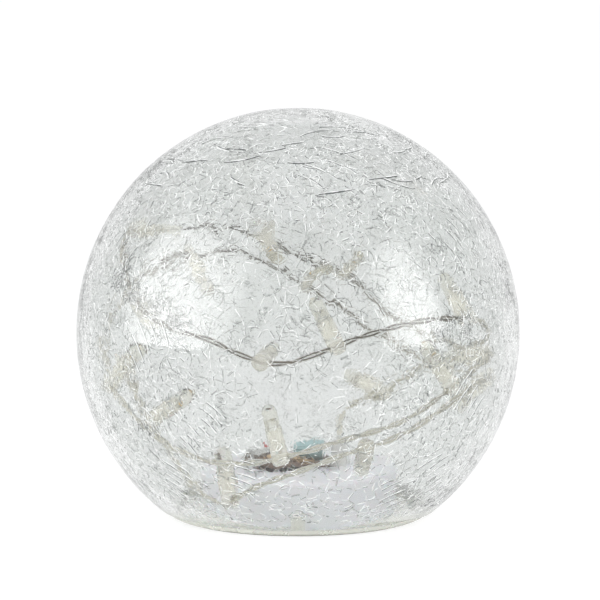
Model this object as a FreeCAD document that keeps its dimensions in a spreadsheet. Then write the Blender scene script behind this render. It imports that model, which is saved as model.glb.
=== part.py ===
import FreeCAD, Part
import math
import os
import Sketcher
from FreeCAD import Placement, Rotation, Vector

# LED ball light: a crackle glass globe on a clear collar, with a battery drum, a circuit board
# and a loose coil of LED string inside it. Millimetres, +Z up, origin on the surface that it
# stands on, below the middle of the globe.

doc = FreeCAD.newDocument("LedBallLight")
sheet = doc.addObject("Spreadsheet::Sheet", "Sizes")

DRIVING_SIZES = {
    "globe_radius": 75.0,            # outside, level
    "globe_half_height": 76.2,       # outside, upright
    "globe_wall": 4.0,
    "rim_seal_height": 0.4,
    "rim_seal_proud": 0.4,           # bead outside the collar
    "rim_seal_lap": 2.9,             # lap on the collar's top
    "rim_margin": 0.235,             # glass inside the seal's bore
    "collar_height": 2.2,
    "collar_wall": 2.1,
    "collar_ledge": 0.8,
    "collar_lip": 1.4,               # slope under the collar's outer edge
    "foot_height": 1.2,
    "foot_rise": 0.6,                # how far the foot ring stands out below
    "foot_width": 1.6,
    "foot_inset": 0.9,
    "foot_gap": 0.1,
    "foot_margin": 0.1,              # between the foot's groove and the screw heads
    "tray_gap": 0.2,                 # loose fits between moulded pieces
    "plug_margin": 0.9,              # tray's plug outside the drum
    "drum_room": 0.78,               # around what the drum holds
    "drum_wall": 1.2,
    "drum_roof": 1.4,
    "roof_room": 1.3,                # above the cells
    "drum_round": 1.0,
    "cell_radius": 5.25,
    "cell_body": 43.5,
    "cell_nub": 1.0,
    "cell_nub_radius": 1.9,
    "cell_gap": 0.6,
    "cell_lift": 1.0,                # cell above the top of the tray's plate
    "cell_crimp": 0.4,
    "well_side": 0.4,
    "well_wall": 1.4,
    "contact_room": 3.35,            # for the contacts, at each end of the cells
    "well_end_wall": 1.0,
    "well_corner": 1.0,
    "well_corner_wall": 2.2,
    "contact_thickness": 0.4,
    "contact_width": 9.0,
    "contact_height": 9.4,
    "contact_dimple": 1.6,
    "contact_gap": 0.05,
    "spring_wire": 0.6,
    "spring_wide": 3.3,
    "spring_narrow": 2.1,
    "spring_turns": 4,
    "door_thickness": 1.2,
    "door_lap": 1.55,                # beyond the well, at the sides
    "door_gap": 0.3,
    "door_end_lap": 1.0,
    "hinge_lap": 0.4,
    "door_pin_length": 1.6,
    "door_pin_gap": 0.06,
    "door_pin_mouth": 1.0,
    "door_rim_height": 1.1,
    "door_rim_width": 1.0,
    "latch_width": 9.0,
    "latch_length": 7.0,
    "latch_slit": 0.8,
    "finger_width": 12.0,
    "finger_depth": 3.6,
    "gasket_height": 0.25,
    "gasket_width": 0.9,
    "gasket_inset": 0.35,
    "screw_radius": 0.9,
    "screw_head": 1.6,
    "screw_head_height": 0.8,
    "screw_gap": 0.05,
    "screw_slot": 0.4,
    "screw_end_gap": 0.2,
    "screw_boss": 2.3,
    "boss_margin": 0.4,
    "screw_boss_cap": 0.6,
    "collar_boss_height": 5.0,
    "cover_screw_length": 7.6,
    "cover_screw_side": 7.92,        # left screw, from the well's wall
    "cover_screw_corner": 4.29,      # right screws, from the well's wall
    "cover_boss_gap": 0.1,
    "switch_room": 5.05,             # between the well and the switch
    "switch_width": 5.6,
    "switch_length": 12.0,
    "switch_height": 5.0,
    "switch_leg": 1.6,
    "switch_leg_pitch": 3.0,
    "switch_leg_radius": 0.4,
    "switch_slot_depth": 1.2,
    "knob_travel": 4.0,
    "knob_width": 4.6,
    "knob_length": 5.0,
    "knob_height": 1.0,
    "knob_sunk": 0.3,
    "knob_neck_width": 1.6,
    "knob_neck_length": 2.4,
    "knob_gap": 0.3,
    "knob_grip": 0.35,
    "board_width": 29.6,
    "board_depth": 17.6,
    "board_thickness": 1.2,
    "board_clamp_gap": 0.3,
    "board_rise": 1.2,
    "board_hole_inset": 2.8,
    "board_screw_length": 2.2,
    "board_boss": 2.2,
    "lead_slot_side": 3.9,           # left of the middle
    "lead_slot_width": 9.5,
    "lead_slot_gap": 1.7,            # behind the board
    "lead_slot_depth": 6.5,
    "chip_gap": 0.67,                # beside the crystal
    "chip_length": 5.0,
    "chip_width": 4.0,
    "chip_height": 1.5,
    "chip_leg_width": 0.4,
    "chip_leg_reach": 1.0,
    "chip_leg_pitch": 1.27,
    "crystal_radius": 1.5,
    "crystal_length": 8.2,
    "crystal_margin": 0.93,          # from the board's left edge
    "can_edge": 0.4,
    "capacitor_radius": 2.5,
    "capacitor_length": 8.5,
    "resistor_radius": 0.9,
    "resistor_length": 3.6,
    "resistor_leg": 0.25,
    "resistor_leg_reach": 1.8,
    "lead_radius": 0.5,
    "clamp_place": 13.6,
    "clamp_depth": 1.5,
    "clamp_base": 3.6,
    "clamp_tip": 2.0,
    "clamp_height": 7.0,
    "clamp_lip": 1.2,
    "string_radius": 1.1,
    "end_cap_radius": 1.8,
    "end_cap_length": 10.0,
    "sleeve_radius": 2.8,
    "sleeve_wall_gap": 0.7,          # between the glass and a sleeve's side
    "sleeve_mouth_radius": 2.75,
    "sleeve_length": 9.0,
    "sleeve_tail": 2.3,
    "sleeve_cavity": 2.2,
    "sleeve_floor": 2.4,
    "sleeve_bore_gap": 0.3,
    "bulb_radius": 2.5,
    "bulb_flange": 2.75,
    "bulb_flange_height": 1.0,
    "bulb_height": 8.5,
    "bulb_leg": 0.3,
    "bulb_leg_space": 1.1,
    "bulb_leg_gap": 0.6,
    "cut_overrun": 1.0,
}


class Size:
    """A length: its number now, and the expression over the sheet that gives it."""

    def __init__(self, number, text):
        self.number = number
        self.text = text

    def joined(self, sign, other, number):
        text = other.text if isinstance(other, Size) else str(other)
        return Size(number, "(%s %s %s)" % (self.text, sign, text))

    def __add__(self, other):
        return self.joined("+", other, self.number + number_of(other))

    def __sub__(self, other):
        return self.joined("-", other, self.number - number_of(other))

    def __mul__(self, other):
        return self.joined("*", other, self.number * number_of(other))

    def __truediv__(self, other):
        return self.joined("/", other, self.number / number_of(other))

    def __neg__(self):
        return Size(-self.number, "(0 - %s)" % self.text)


def number_of(value):
    return value.number if isinstance(value, Size) else value


def reach(x, y):
    """The distance of a corner from the middle."""
    return Size(math.hypot(x.number, y.number), "hypot(%s; %s)" % (x.text, y.text))


def larger(one, other):
    return Size(max(one.number, other.number), "max(%s; %s)" % (one.text, other.text))


def side_of(diagonal, other_side):
    """The other side of the right triangle with this diagonal."""
    left = diagonal * diagonal - other_side * other_side
    return Size(math.sqrt(left.number), "sqrt(%s)" % left.text)


def height_on_ellipse(half_height, half_width, place):
    """How far above or below its middle an ellipse is at this distance from its axis."""
    share = place / half_width
    left = share * share * -1 + 1
    return half_height * Size(math.sqrt(left.number), "sqrt(%s)" % left.text)


def fill_sheet():
    sizes = {}
    for row, (name, number) in enumerate(DRIVING_SIZES.items(), start=1):
        sheet.set("A%d" % row, name)
        sheet.set("B%d" % row, str(number))
        sheet.setAlias("B%d" % row, name)
        sizes[name] = Size(number, "Sizes." + name)
    doc.recompute()
    return sizes


S = fill_sheet()
ZERO = Size(0.0, "0")

# The battery well and its door, from the cells outwards.
cell_pitch = S["cell_radius"] * 2 + S["cell_gap"]
well_half_width = cell_pitch + S["cell_radius"] + S["well_side"]
well_outer_half_width = well_half_width + S["well_wall"]
well_end = (S["cell_body"] + S["cell_nub"]) / 2 + S["contact_room"]
well_outer_end = well_end + S["well_end_wall"]
well_height = S["cell_lift"] + S["cell_radius"] * 2
door_half_width = well_half_width + S["door_lap"]
door_free_end = well_end + S["door_end_lap"]
door_axis = well_end + S["hinge_lap"]

# Radii of the base, from the well and the switch outwards.
switch_place = well_outer_half_width + S["switch_room"] + S["switch_width"] / 2
well_reach = reach(well_outer_end, well_outer_half_width - S["well_corner_wall"])
switch_reach = reach(switch_place + S["switch_width"] / 2, S["switch_length"] / 2)
drum_inside = larger(well_reach, switch_reach) + S["drum_room"]
drum_radius = drum_inside + S["drum_wall"]
plug_radius = drum_radius + S["plug_margin"]
collar_inside = plug_radius + S["tray_gap"]
collar_screw_place = collar_inside + S["boss_margin"] + S["screw_boss"]
foot_inside = collar_screw_place + S["screw_head"] + S["screw_gap"] * 2 + S["foot_margin"] + S["foot_gap"]
foot_outside = foot_inside + S["foot_width"]
tray_outside = foot_outside + S["foot_inset"]
collar_recess = tray_outside + S["tray_gap"]
collar_radius = collar_recess + S["collar_wall"]
rim_inside = collar_radius - S["rim_seal_lap"] - S["rim_margin"]

# Levels, from the surface up.
plate_bottom = S["foot_rise"]
collar_top = plate_bottom + S["collar_height"]
ledge_bottom = collar_top - S["collar_ledge"]
rim_level = collar_top + S["rim_seal_height"]
globe_middle = rim_level + height_on_ellipse(S["globe_half_height"] - S["globe_wall"],
                                             S["globe_radius"] - S["globe_wall"], rim_inside)
drum_height = well_height + S["roof_room"] + S["drum_roof"]
roof_top = collar_top + drum_height
roof_under = roof_top - S["drum_roof"]
cell_middle = collar_top + S["cell_lift"] + S["cell_radius"]
board_bottom = roof_top + S["board_rise"]
board_top = board_bottom + S["board_thickness"]
door_top = plate_bottom + S["door_thickness"]
door_axis_level = plate_bottom + S["door_thickness"] / 2
door_recess_top = door_top + S["gasket_height"] + S["contact_gap"]

# Screws, legs and the board, from what they sit in or beside.
screw_depth = S["collar_height"] - S["screw_head_height"] + S["collar_boss_height"]
collar_screw_length = screw_depth - S["screw_boss_cap"] - S["screw_end_gap"]
bulb_leg_length = S["sleeve_length"] - S["sleeve_floor"] - S["bulb_leg_gap"]
clamp_waist = S["clamp_base"] - S["clamp_lip"]
board_right = S["clamp_place"] - clamp_waist - S["board_clamp_gap"]
board_place = board_right - S["board_width"] / 2
crystal_left = board_right - S["board_width"] + S["crystal_margin"]
crystal_place = crystal_left + S["crystal_length"] / 2
chip_place = crystal_left + S["crystal_length"] + S["chip_gap"] + S["chip_length"] / 2

# Angles, places and shares of what repeats or follows a larger piece.
COLLAR_SCREW_ANGLES = (30.0, 150.0, 270.0)
CELL_SIDES = (-1, 0, 1)
PLUS_AT_BACK = (True, False, True)
LATCH_GRIP_STEPS = (1.5, 3.0, 4.5)             # in latch slits, from the free end
KNOB_GROOVE_STEPS = (-3, 0, 3)                 # in groove widths
CHIP_LEG_STEPS = (-1.5, -0.5, 0.5, 1.5)        # in leg pitches
SWITCH_LEG_STEPS = (-1, 0, 1)
CAPACITOR_PLACE_SHARES = (0.275, 0.318)        # of the board's width and depth, from its middle
CRYSTAL_DEPTH_SHARE = 0.02
RESISTOR_PLACE_SHARES = (-0.14, 0.16)
SLEEVE_TAIL_SHARES = (0.7, 0.6)                # of the sleeve's radius and its tail
SCREW_SLOT_SHARE = 0.6                         # of the head's radius
END_CAP_ROUND_SHARE = 0.5
ARC_REACH_SHARE = 0.45                         # of the shorter run beside a corner
SAME_BEND_RADII = 30                           # points nearer along a tube are the same bend
VOLUME_ERROR_SHARE = 0.01                      # most that a tube may differ from section times length
COSINE_DIGITS = 9


def new_body(label):
    body = doc.addObject("PartDesign::Body", label)
    body.Label = label
    return body


def sketch_on(body, role, name, level=None):
    """A sketch on one of the body's own origin planes, raised along its normal by level."""
    sketch = body.newObject("Sketcher::SketchObject", name)
    support = [plane for plane in body.Origin.OriginFeatures if plane.Role == role][0]
    sketch.AttachmentSupport = [(support, "")]
    sketch.MapMode = "FlatFace"
    if level is not None:
        sketch.setExpression("AttachmentOffset.Base.z", level.text)
    return sketch


def pin_point(sketch, geometry, corner, place):
    """Hold one point of a sketch at its two distances from the sketch's origin."""
    for kind, axis, value in (("DistanceX", -2, place[0]), ("DistanceY", -1, place[1])):
        if value is ZERO:
            sketch.addConstraint(Sketcher.Constraint("PointOnObject", geometry, corner, axis))
        else:
            rule = Sketcher.Constraint(kind, -1, 1, geometry, corner, value.number)
            number = sketch.addConstraint(rule)
            sketch.setExpression("Constraints[%d]" % number, value.text)


def draw_outline(sketch, places):
    """A closed outline of straight lines through the places."""
    first = sketch.GeometryCount
    count = len(places)
    points = [Vector(x.number, y.number, 0) for x, y in places]
    for index in range(count):
        line = Part.LineSegment(points[index], points[(index + 1) % count])
        sketch.addGeometry(line, False)
    for index in range(count):
        following = first + (index + 1) % count
        sketch.addConstraint(Sketcher.Constraint("Coincident", first + index, 2, following, 1))
    for index, place in enumerate(places):
        pin_point(sketch, first + index, 1, place)


def draw_circle(sketch, place, radius):
    circle = Part.Circle(Vector(place[0].number, place[1].number, 0), Vector(0, 0, 1), radius.number)
    index = sketch.addGeometry(circle, False)
    pin_point(sketch, index, 3, place)
    number = sketch.addConstraint(Sketcher.Constraint("Radius", index, radius.number))
    sketch.setExpression("Constraints[%d]" % number, radius.text)


def rectangle(left, right, front, back):
    return [(left, front), (right, front), (right, back), (left, back)]


def block(half_width, half_depth, middle=(ZERO, ZERO)):
    x, y = middle
    return rectangle(x - half_width, x + half_width, y - half_depth, y + half_depth)


def turned(body, name, profile):
    """Revolve a half profile of radius and height about the body's Z axis."""
    sketch = sketch_on(body, "XZ_Plane", name + "Sketch")
    draw_outline(sketch, profile)
    feature = body.newObject("PartDesign::Revolution", name)
    feature.Profile = sketch
    feature.ReferenceAxis = (sketch, ["V_Axis"])
    feature.Angle = 360
    sketch.Visibility = False
    return feature


def raised(body, name, bottom, height, outlines=(), circles=()):
    """Pad outlines and circles upwards from a level."""
    sketch = sketch_on(body, "XY_Plane", name + "Sketch", bottom)
    for outline in outlines:
        draw_outline(sketch, outline)
    for place, radius in circles:
        draw_circle(sketch, place, radius)
    feature = body.newObject("PartDesign::Pad", name)
    feature.Profile = sketch
    feature.setExpression("Length", height.text)
    return feature


def sunk(body, name, bottom, height, outlines=(), circles=()):
    """Cut outlines and circles upwards from a level."""
    doc.recompute()
    before = body.Shape.Volume
    sketch = sketch_on(body, "XY_Plane", name + "Sketch", bottom)
    for outline in outlines:
        draw_outline(sketch, outline)
    for place, radius in circles:
        draw_circle(sketch, place, radius)
    feature = body.newObject("PartDesign::Pocket", name)
    feature.Profile = sketch
    feature.setExpression("Length", height.text)
    feature.Reversed = True
    doc.recompute()
    if body.Shape.Volume >= before:
        raise ValueError("nothing was cut by " + name)
    return feature


def cut_sideways(body, name, circle, half_length):
    """Cut a round bore along X, from the middle plane out to both sides."""
    doc.recompute()
    before = body.Shape.Volume
    sketch = sketch_on(body, "YZ_Plane", name + "Sketch")
    draw_circle(sketch, circle[0], circle[1])
    feature = body.newObject("PartDesign::Pocket", name)
    feature.Profile = sketch
    feature.Midplane = True
    feature.setExpression("Length", (half_length * 2).text)
    doc.recompute()
    if body.Shape.Volume >= before:
        raise ValueError("nothing was cut by " + name)
    return feature


def polar(radius, angle):
    """A place at an angle in degrees on a circle about the middle."""
    turn = math.radians(angle)
    across = round(math.cos(turn), COSINE_DIGITS)
    deep = round(math.sin(turn), COSINE_DIGITS)
    return radius * across if across else ZERO, radius * deep if deep else ZERO


def ring_places(radius, angles):
    return [polar(radius, angle) for angle in angles]


def solid_feature(label, shape):
    """A sub-part whose shape is worked out here from the sheet's sizes."""
    feature = doc.addObject("Part::Feature", label)
    feature.Label = label
    feature.Shape = shape
    return feature


# Globe

def make_globe():
    outer = doc.addObject("Part::Ellipsoid", "GlobeOutside")
    outer.setExpression("Radius1", S["globe_half_height"].text)
    outer.setExpression("Radius2", S["globe_radius"].text)
    outer.setExpression("Radius3", S["globe_radius"].text)
    inner = doc.addObject("Part::Ellipsoid", "GlobeInside")
    inner.setExpression("Radius1", (S["globe_half_height"] - S["globe_wall"]).text)
    inner.setExpression("Radius2", (S["globe_radius"] - S["globe_wall"]).text)
    inner.setExpression("Radius3", (S["globe_radius"] - S["globe_wall"]).text)
    for half in (outer, inner):
        half.setExpression("Placement.Base.z", globe_middle.text)
    shell = doc.addObject("Part::Cut", "GlobeShell")
    shell.Base = outer
    shell.Tool = inner
    below = doc.addObject("Part::Cylinder", "GlobeBottomCut")
    below.setExpression("Radius", (S["globe_radius"] + S["cut_overrun"]).text)
    below.setExpression("Height", (S["globe_half_height"] + S["cut_overrun"]).text)
    below.setExpression("Placement.Base.z", (rim_level - S["globe_half_height"] - S["cut_overrun"]).text)
    globe = doc.addObject("Part::Cut", "glass_globe")
    globe.Label = "glass_globe"
    globe.Base = shell
    globe.Tool = below
    return globe


# Collar, seal and foot

def make_rim_seal():
    body = new_body("rim_seal")
    outside = collar_radius + S["rim_seal_proud"]
    inside = collar_radius - S["rim_seal_lap"]
    turned(body, "SealRing", [(inside, collar_top), (outside, collar_top),
                              (outside, rim_level), (inside, rim_level)])
    return body


def make_collar_ring():
    body = new_body("collar_ring")
    turned(body, "CollarProfile", [
        (collar_inside, ledge_bottom), (collar_recess, ledge_bottom), (collar_recess, plate_bottom),
        (collar_radius - S["collar_lip"], plate_bottom),
        (collar_radius, plate_bottom + S["collar_lip"] / 2),
        (collar_radius, collar_top), (collar_inside, collar_top)])
    places = ring_places(collar_screw_place, COLLAR_SCREW_ANGLES)
    raised(body, "ScrewBosses", collar_top, S["collar_boss_height"],
           circles=[(place, S["screw_boss"]) for place in places])
    sunk(body, "ScrewPilots", ledge_bottom, S["collar_ledge"] + S["collar_boss_height"] - S["screw_boss_cap"],
         circles=[(place, S["screw_radius"] + S["screw_gap"]) for place in places])
    return body


def make_foot_ring():
    body = new_body("foot_ring")
    edge = S["foot_gap"] * 2
    turned(body, "FootRing", [
        (foot_inside + edge, ZERO), (foot_outside - edge, ZERO), (foot_outside, edge),
        (foot_outside, S["foot_height"]), (foot_inside, S["foot_height"]), (foot_inside, edge)])
    return body


# Battery tray, door and what the tray holds

def well_outline(half_width, end, corner):
    return [(half_width, -end + corner), (half_width, end - corner), (half_width - corner, end),
            (-half_width + corner, end), (-half_width, end - corner), (-half_width, -end + corner),
            (-half_width + corner, -end), (half_width - corner, -end)]


def cover_screw_places():
    """One screw at the left of the well, and two beyond its right corners, by the drum's wall."""
    left = well_outer_half_width + S["cover_screw_side"]
    right = well_outer_half_width + S["cover_screw_corner"]
    away = side_of(drum_inside - S["screw_boss"] - S["cover_boss_gap"], right)
    return [(-left, ZERO), (right, away), (right, -away)]


def make_battery_tray():
    body = new_body("battery_tray")
    turned(body, "TrayPlate", [
        (ZERO, plate_bottom), (tray_outside, plate_bottom), (tray_outside, ledge_bottom),
        (plug_radius, ledge_bottom), (plug_radius, collar_top), (ZERO, collar_top)])
    raised(body, "WellWalls", collar_top, well_height, outlines=[
        well_outline(well_outer_half_width, well_outer_end, S["well_corner_wall"]),
        well_outline(well_half_width, well_end, S["well_corner"])])
    sunk(body, "WellMouth", plate_bottom, S["collar_height"],
         outlines=[well_outline(well_half_width, well_end, S["well_corner"])])
    recess_side = door_half_width + S["door_gap"]
    recess_end = door_free_end + S["door_gap"]
    sunk(body, "DoorRecess", plate_bottom, door_recess_top - plate_bottom,
         outlines=[block(recess_side, recess_end)])
    sunk(body, "FingerNotch", plate_bottom, S["door_thickness"], outlines=[rectangle(
        -S["finger_width"] / 2, S["finger_width"] / 2, -recess_end - S["finger_depth"], -recess_end)])
    pin_reach = door_half_width + S["door_pin_length"] + S["door_gap"] / 2
    pin_hole = S["door_thickness"] / 2 + S["door_pin_gap"]
    cut_sideways(body, "PinHoles", ((door_axis, door_axis_level), pin_hole), pin_reach)
    sunk(body, "PinMouths", plate_bottom, S["door_thickness"] / 2, outlines=[rectangle(
        -pin_reach, pin_reach, door_axis - S["door_pin_mouth"] / 2,
        door_axis + S["door_pin_mouth"] / 2)])
    knob_half = (S["knob_travel"] + S["knob_length"]) / 2 + S["knob_gap"]
    sunk(body, "KnobRecess", plate_bottom, S["knob_sunk"] + S["knob_height"] + S["knob_gap"],
         outlines=[block(S["knob_width"] / 2 + S["knob_gap"], knob_half, (switch_place, ZERO))])
    neck_half = (S["knob_travel"] + S["knob_neck_length"]) / 2 + S["knob_gap"]
    sunk(body, "KnobSlot", plate_bottom, S["collar_height"], outlines=[block(
        S["knob_neck_width"] / 2 + S["knob_gap"], neck_half, (switch_place, ZERO))])
    groove_outside = foot_outside + S["foot_gap"]
    groove_inside = foot_inside - S["foot_gap"]
    sunk(body, "FootGroove", plate_bottom, S["foot_height"] - S["foot_rise"],
         circles=[((ZERO, ZERO), groove_outside), ((ZERO, ZERO), groove_inside)])
    head = S["screw_head"] + S["screw_gap"] * 2
    shank = S["screw_radius"] + S["screw_gap"]
    places = ring_places(collar_screw_place, COLLAR_SCREW_ANGLES) + cover_screw_places()
    sunk(body, "ScrewHeads", plate_bottom, S["screw_head_height"],
         circles=[(place, head) for place in places])
    sunk(body, "ScrewHoles", plate_bottom, S["collar_height"],
         circles=[(place, shank) for place in places])
    return body


def make_battery_door():
    body = new_body("battery_door")
    raised(body, "DoorPlate", plate_bottom, S["door_thickness"], outlines=[rectangle(
        -door_half_width, door_half_width, -door_free_end, door_axis)])
    sketch = sketch_on(body, "YZ_Plane", "HingeBarrelSketch")
    draw_circle(sketch, (door_axis, door_axis_level), S["door_thickness"] / 2)
    barrel = body.newObject("PartDesign::Pad", "HingeBarrel")
    barrel.Profile = sketch
    barrel.Midplane = True
    barrel.setExpression("Length", ((door_half_width + S["door_pin_length"]) * 2).text)
    rim_side = well_half_width - S["door_gap"]
    rim_end = well_end - S["door_gap"]
    inner_side = rim_side - S["door_rim_width"]
    inner_end = rim_end - S["door_rim_width"]
    corner = S["well_corner"]
    raised(body, "DoorRim", door_top, S["door_rim_height"], outlines=[
        well_outline(rim_side, rim_end, corner), well_outline(inner_side, inner_end, corner)])
    slit_front = -door_free_end
    slit_back = slit_front + S["latch_length"]
    outer = S["latch_width"] / 2
    inner = outer - S["latch_slit"]
    slits = [rectangle(inner, outer, slit_front, slit_back), rectangle(-outer, -inner, slit_front, slit_back)]
    sunk(body, "LatchSlits", plate_bottom, S["door_thickness"] + S["door_rim_height"], outlines=slits)
    grip = S["latch_slit"] / 2
    bars = []
    for step in LATCH_GRIP_STEPS:
        front = slit_front + S["latch_slit"] * step
        bars.append(rectangle(-inner + grip, inner - grip, front, front + grip))
    sunk(body, "LatchGrip", plate_bottom, S["door_thickness"] / 4, outlines=bars)
    return body


def make_door_gasket():
    body = new_body("door_gasket")
    outer_side = door_half_width + S["door_gap"] - S["gasket_inset"] + S["contact_gap"]
    outer_end = door_free_end
    raised(body, "GasketFrame", door_recess_top - S["gasket_height"], S["gasket_height"], outlines=[
        rectangle(-outer_side, outer_side, -outer_end, well_end + S["contact_gap"]),
        well_outline(outer_side - S["gasket_width"], well_end - S["gasket_inset"] / 2,
                     S["well_corner"])])
    return body


def make_cell(number, side, plus_at_back):
    """A round cell lying along Y, its plus nub against the contact at one end of the well."""
    body = new_body("battery_cell_%d" % number)
    crimp = S["cell_crimp"]
    body_top = S["cell_body"]
    turned(body, "CellProfile", [
        (ZERO, ZERO), (S["cell_radius"] - crimp, ZERO), (S["cell_radius"], crimp),
        (S["cell_radius"], body_top - crimp), (S["cell_radius"] - crimp, body_top),
        (S["cell_nub_radius"], body_top), (S["cell_nub_radius"], body_top + S["cell_nub"]),
        (ZERO, body_top + S["cell_nub"])])
    way = -1 if plus_at_back else 1
    body.Placement = Placement(Vector(0, 0, 0), Rotation(Vector(1, 0, 0), 90.0 * way))
    nub_end = well_end - S["contact_thickness"] * 2 - S["contact_gap"] * 2
    foot = nub_end - body_top - S["cell_nub"]
    body.setExpression("Placement.Base.x", (cell_pitch * side).text)
    body.setExpression("Placement.Base.y", (foot if plus_at_back else -foot).text)
    body.setExpression("Placement.Base.z", cell_middle.text)
    return body


def make_contact(label, first_side, last_side, at_back, dimple_side):
    """A contact plate at one end of the well, with a dimple where a plus nub meets it."""
    body = new_body(label)
    half = S["contact_width"] / 2
    left = cell_pitch * first_side - half
    right = cell_pitch * last_side + half
    bottom = cell_middle - S["contact_height"] / 2
    end_face = well_end - S["contact_gap"]
    sketch = sketch_on(body, "XZ_Plane", "ContactSketch", -end_face if at_back else end_face)
    draw_outline(sketch, rectangle(left, right, bottom, bottom + S["contact_height"]))
    plate = body.newObject("PartDesign::Pad", "ContactPlate")
    plate.Profile = sketch
    plate.Reversed = not at_back
    plate.setExpression("Length", S["contact_thickness"].text)
    if dimple_side is not None:
        face = end_face - S["contact_thickness"]
        dimple = sketch_on(body, "XZ_Plane", "DimpleSketch", -face if at_back else face)
        draw_circle(dimple, (cell_pitch * dimple_side if dimple_side else ZERO, cell_middle),
                    S["contact_dimple"])
        bump = body.newObject("PartDesign::Pad", "ContactDimple")
        bump.Profile = dimple
        bump.Reversed = not at_back
        bump.setExpression("Length", S["contact_thickness"].text)
    return body


def arc_middle(start, corner, end):
    """The middle of the arc that leaves start towards corner and meets end from corner."""
    chord_middle = (start + end) * 0.5
    rise = (corner - chord_middle).Length
    half_chord = (start - chord_middle).Length
    radius = half_chord * (corner - start).Length / rise
    sagitta = radius - math.sqrt(max(radius * radius - half_chord * half_chord, 0.0))
    return chord_middle + (corner - chord_middle).normalize() * sagitta


def biarc(start, start_way, end, end_way):
    """Two arcs that join two points and follow the directions at both."""
    chord = end - start
    both = start_way + end_way
    spread = 2.0 * (1.0 - start_way.dot(end_way))
    along = chord.dot(both)
    reach = (-along + math.sqrt(along * along + spread * chord.dot(chord))) / spread
    near = start + start_way * reach
    far = end - end_way * reach
    join = (near + far) * 0.5
    return [Part.Arc(start, arc_middle(start, near, join), join).toShape(),
            Part.Arc(join, arc_middle(join, far, end), end).toShape()]


def pipe(edges, radius, start, way):
    """A round tube along a smooth path."""
    path = Part.Wire(edges)
    ring = Part.Wire([Part.Circle(start, way, radius).toShape()])
    return path.makePipeShell([ring], True, False)


def make_spring(number, side, at_back):
    """A conical spring from the contact plate at a well's end to the cell's flat end."""
    wire = S["spring_wire"].number
    wide = S["spring_wide"].number
    narrow = S["spring_narrow"].number
    turns = int(S["spring_turns"].number)
    nub_end = well_end - S["contact_thickness"] * 2 - S["contact_gap"] * 2
    cell_foot = (S["cell_body"] + S["cell_nub"] - nub_end).number
    plate_face = (well_end - S["contact_thickness"] - S["contact_gap"]).number
    gap = S["contact_gap"].number
    length = plate_face - cell_foot - wire - 2 * gap
    steps = turns * 4

    def place(share):
        turn = share * turns * 2.0 * math.pi
        radius = wide + (narrow - wide) * share
        return Vector(radius * math.cos(turn), radius * math.sin(turn), length * share)

    def way(share):
        small_share = 1e-4
        return (place(share + small_share) - place(share - small_share)).normalize()

    edges = []
    for step in range(steps):
        near = step / steps
        far = (step + 1) / steps
        edges += biarc(place(near), way(near), place(far), way(far))
    coil = pipe(edges, wire / 2, place(0.0), way(0.0))
    spring = solid_feature("contact_spring_%d" % number, coil)
    start = plate_face - wire / 2 - gap
    x = (cell_pitch * side).number
    turn = 90.0 if at_back else -90.0
    spring.Placement = Placement(Vector(x, start if at_back else -start, cell_middle.number),
                                 Rotation(Vector(1, 0, 0), turn))
    return spring


# Drum cover, circuit board and what sits on them

def make_drum_cover():
    body = new_body("drum_cover")
    turned(body, "CoverCup", [
        (drum_inside, collar_top), (drum_radius, collar_top),
        (drum_radius, roof_top - S["drum_round"]), (drum_radius - S["drum_round"], roof_top),
        (ZERO, roof_top), (ZERO, roof_under), (drum_inside, roof_under)])
    places = cover_screw_places()
    raised(body, "CoverBosses", collar_top, drum_height - S["drum_roof"] / 2,
           circles=[(place, S["screw_boss"]) for place in places])
    sunk(body, "CoverPilots", collar_top, S["cover_screw_length"],
         circles=[(place, S["screw_radius"] + S["screw_gap"]) for place in places])
    raised(body, "BoardBosses", roof_top - S["drum_roof"] / 2, S["board_rise"] + S["drum_roof"] / 2,
           circles=[(place, S["board_boss"]) for place in board_hole_places()])
    sunk(body, "BoardPilots", roof_top - S["drum_roof"] / 2, S["board_rise"] + S["drum_roof"] / 2,
         circles=[(place, S["screw_radius"] + S["screw_gap"]) for place in board_hole_places()])
    slot_right = -S["lead_slot_side"]
    slot_front = S["board_depth"] / 2 + S["lead_slot_gap"]
    sunk(body, "LeadSlot", roof_under, S["drum_roof"], outlines=[rectangle(
        slot_right - S["lead_slot_width"], slot_right, slot_front, slot_front + S["lead_slot_depth"])])
    return body


def board_hole_places():
    across = S["board_width"] / 2 - S["board_hole_inset"]
    deep = S["board_depth"] / 2 - S["board_hole_inset"]
    middle = board_place
    return [(middle - across, -deep), (middle + across, -deep)]


def board_spot(shares):
    """A place on the board, in shares of its width and depth from its middle."""
    across, deep = shares
    return board_place + S["board_width"] * across, S["board_depth"] * deep


def make_circuit_board():
    body = new_body("circuit_board")
    raised(body, "BoardSheet", board_bottom, S["board_thickness"],
           outlines=[block(S["board_width"] / 2, S["board_depth"] / 2, (board_place, ZERO))],
           circles=[(place, S["screw_radius"] + S["screw_gap"]) for place in board_hole_places()])
    return body


def make_timer_chip():
    body = new_body("timer_chip")
    stand = S["chip_leg_width"] / 2
    raised(body, "ChipCase", board_top + stand, S["chip_height"],
           outlines=[block(S["chip_length"] / 2, S["chip_width"] / 2, (chip_place, ZERO))])
    legs = []
    leg_end = S["chip_width"] / 2 + S["chip_leg_reach"]
    for step in CHIP_LEG_STEPS:
        x = chip_place + S["chip_leg_pitch"] * step
        half = S["chip_leg_width"] / 2
        legs.append(rectangle(x - half, x + half, -leg_end, leg_end))
    raised(body, "ChipLegs", board_top, S["chip_leg_width"], outlines=legs)
    return body


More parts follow.
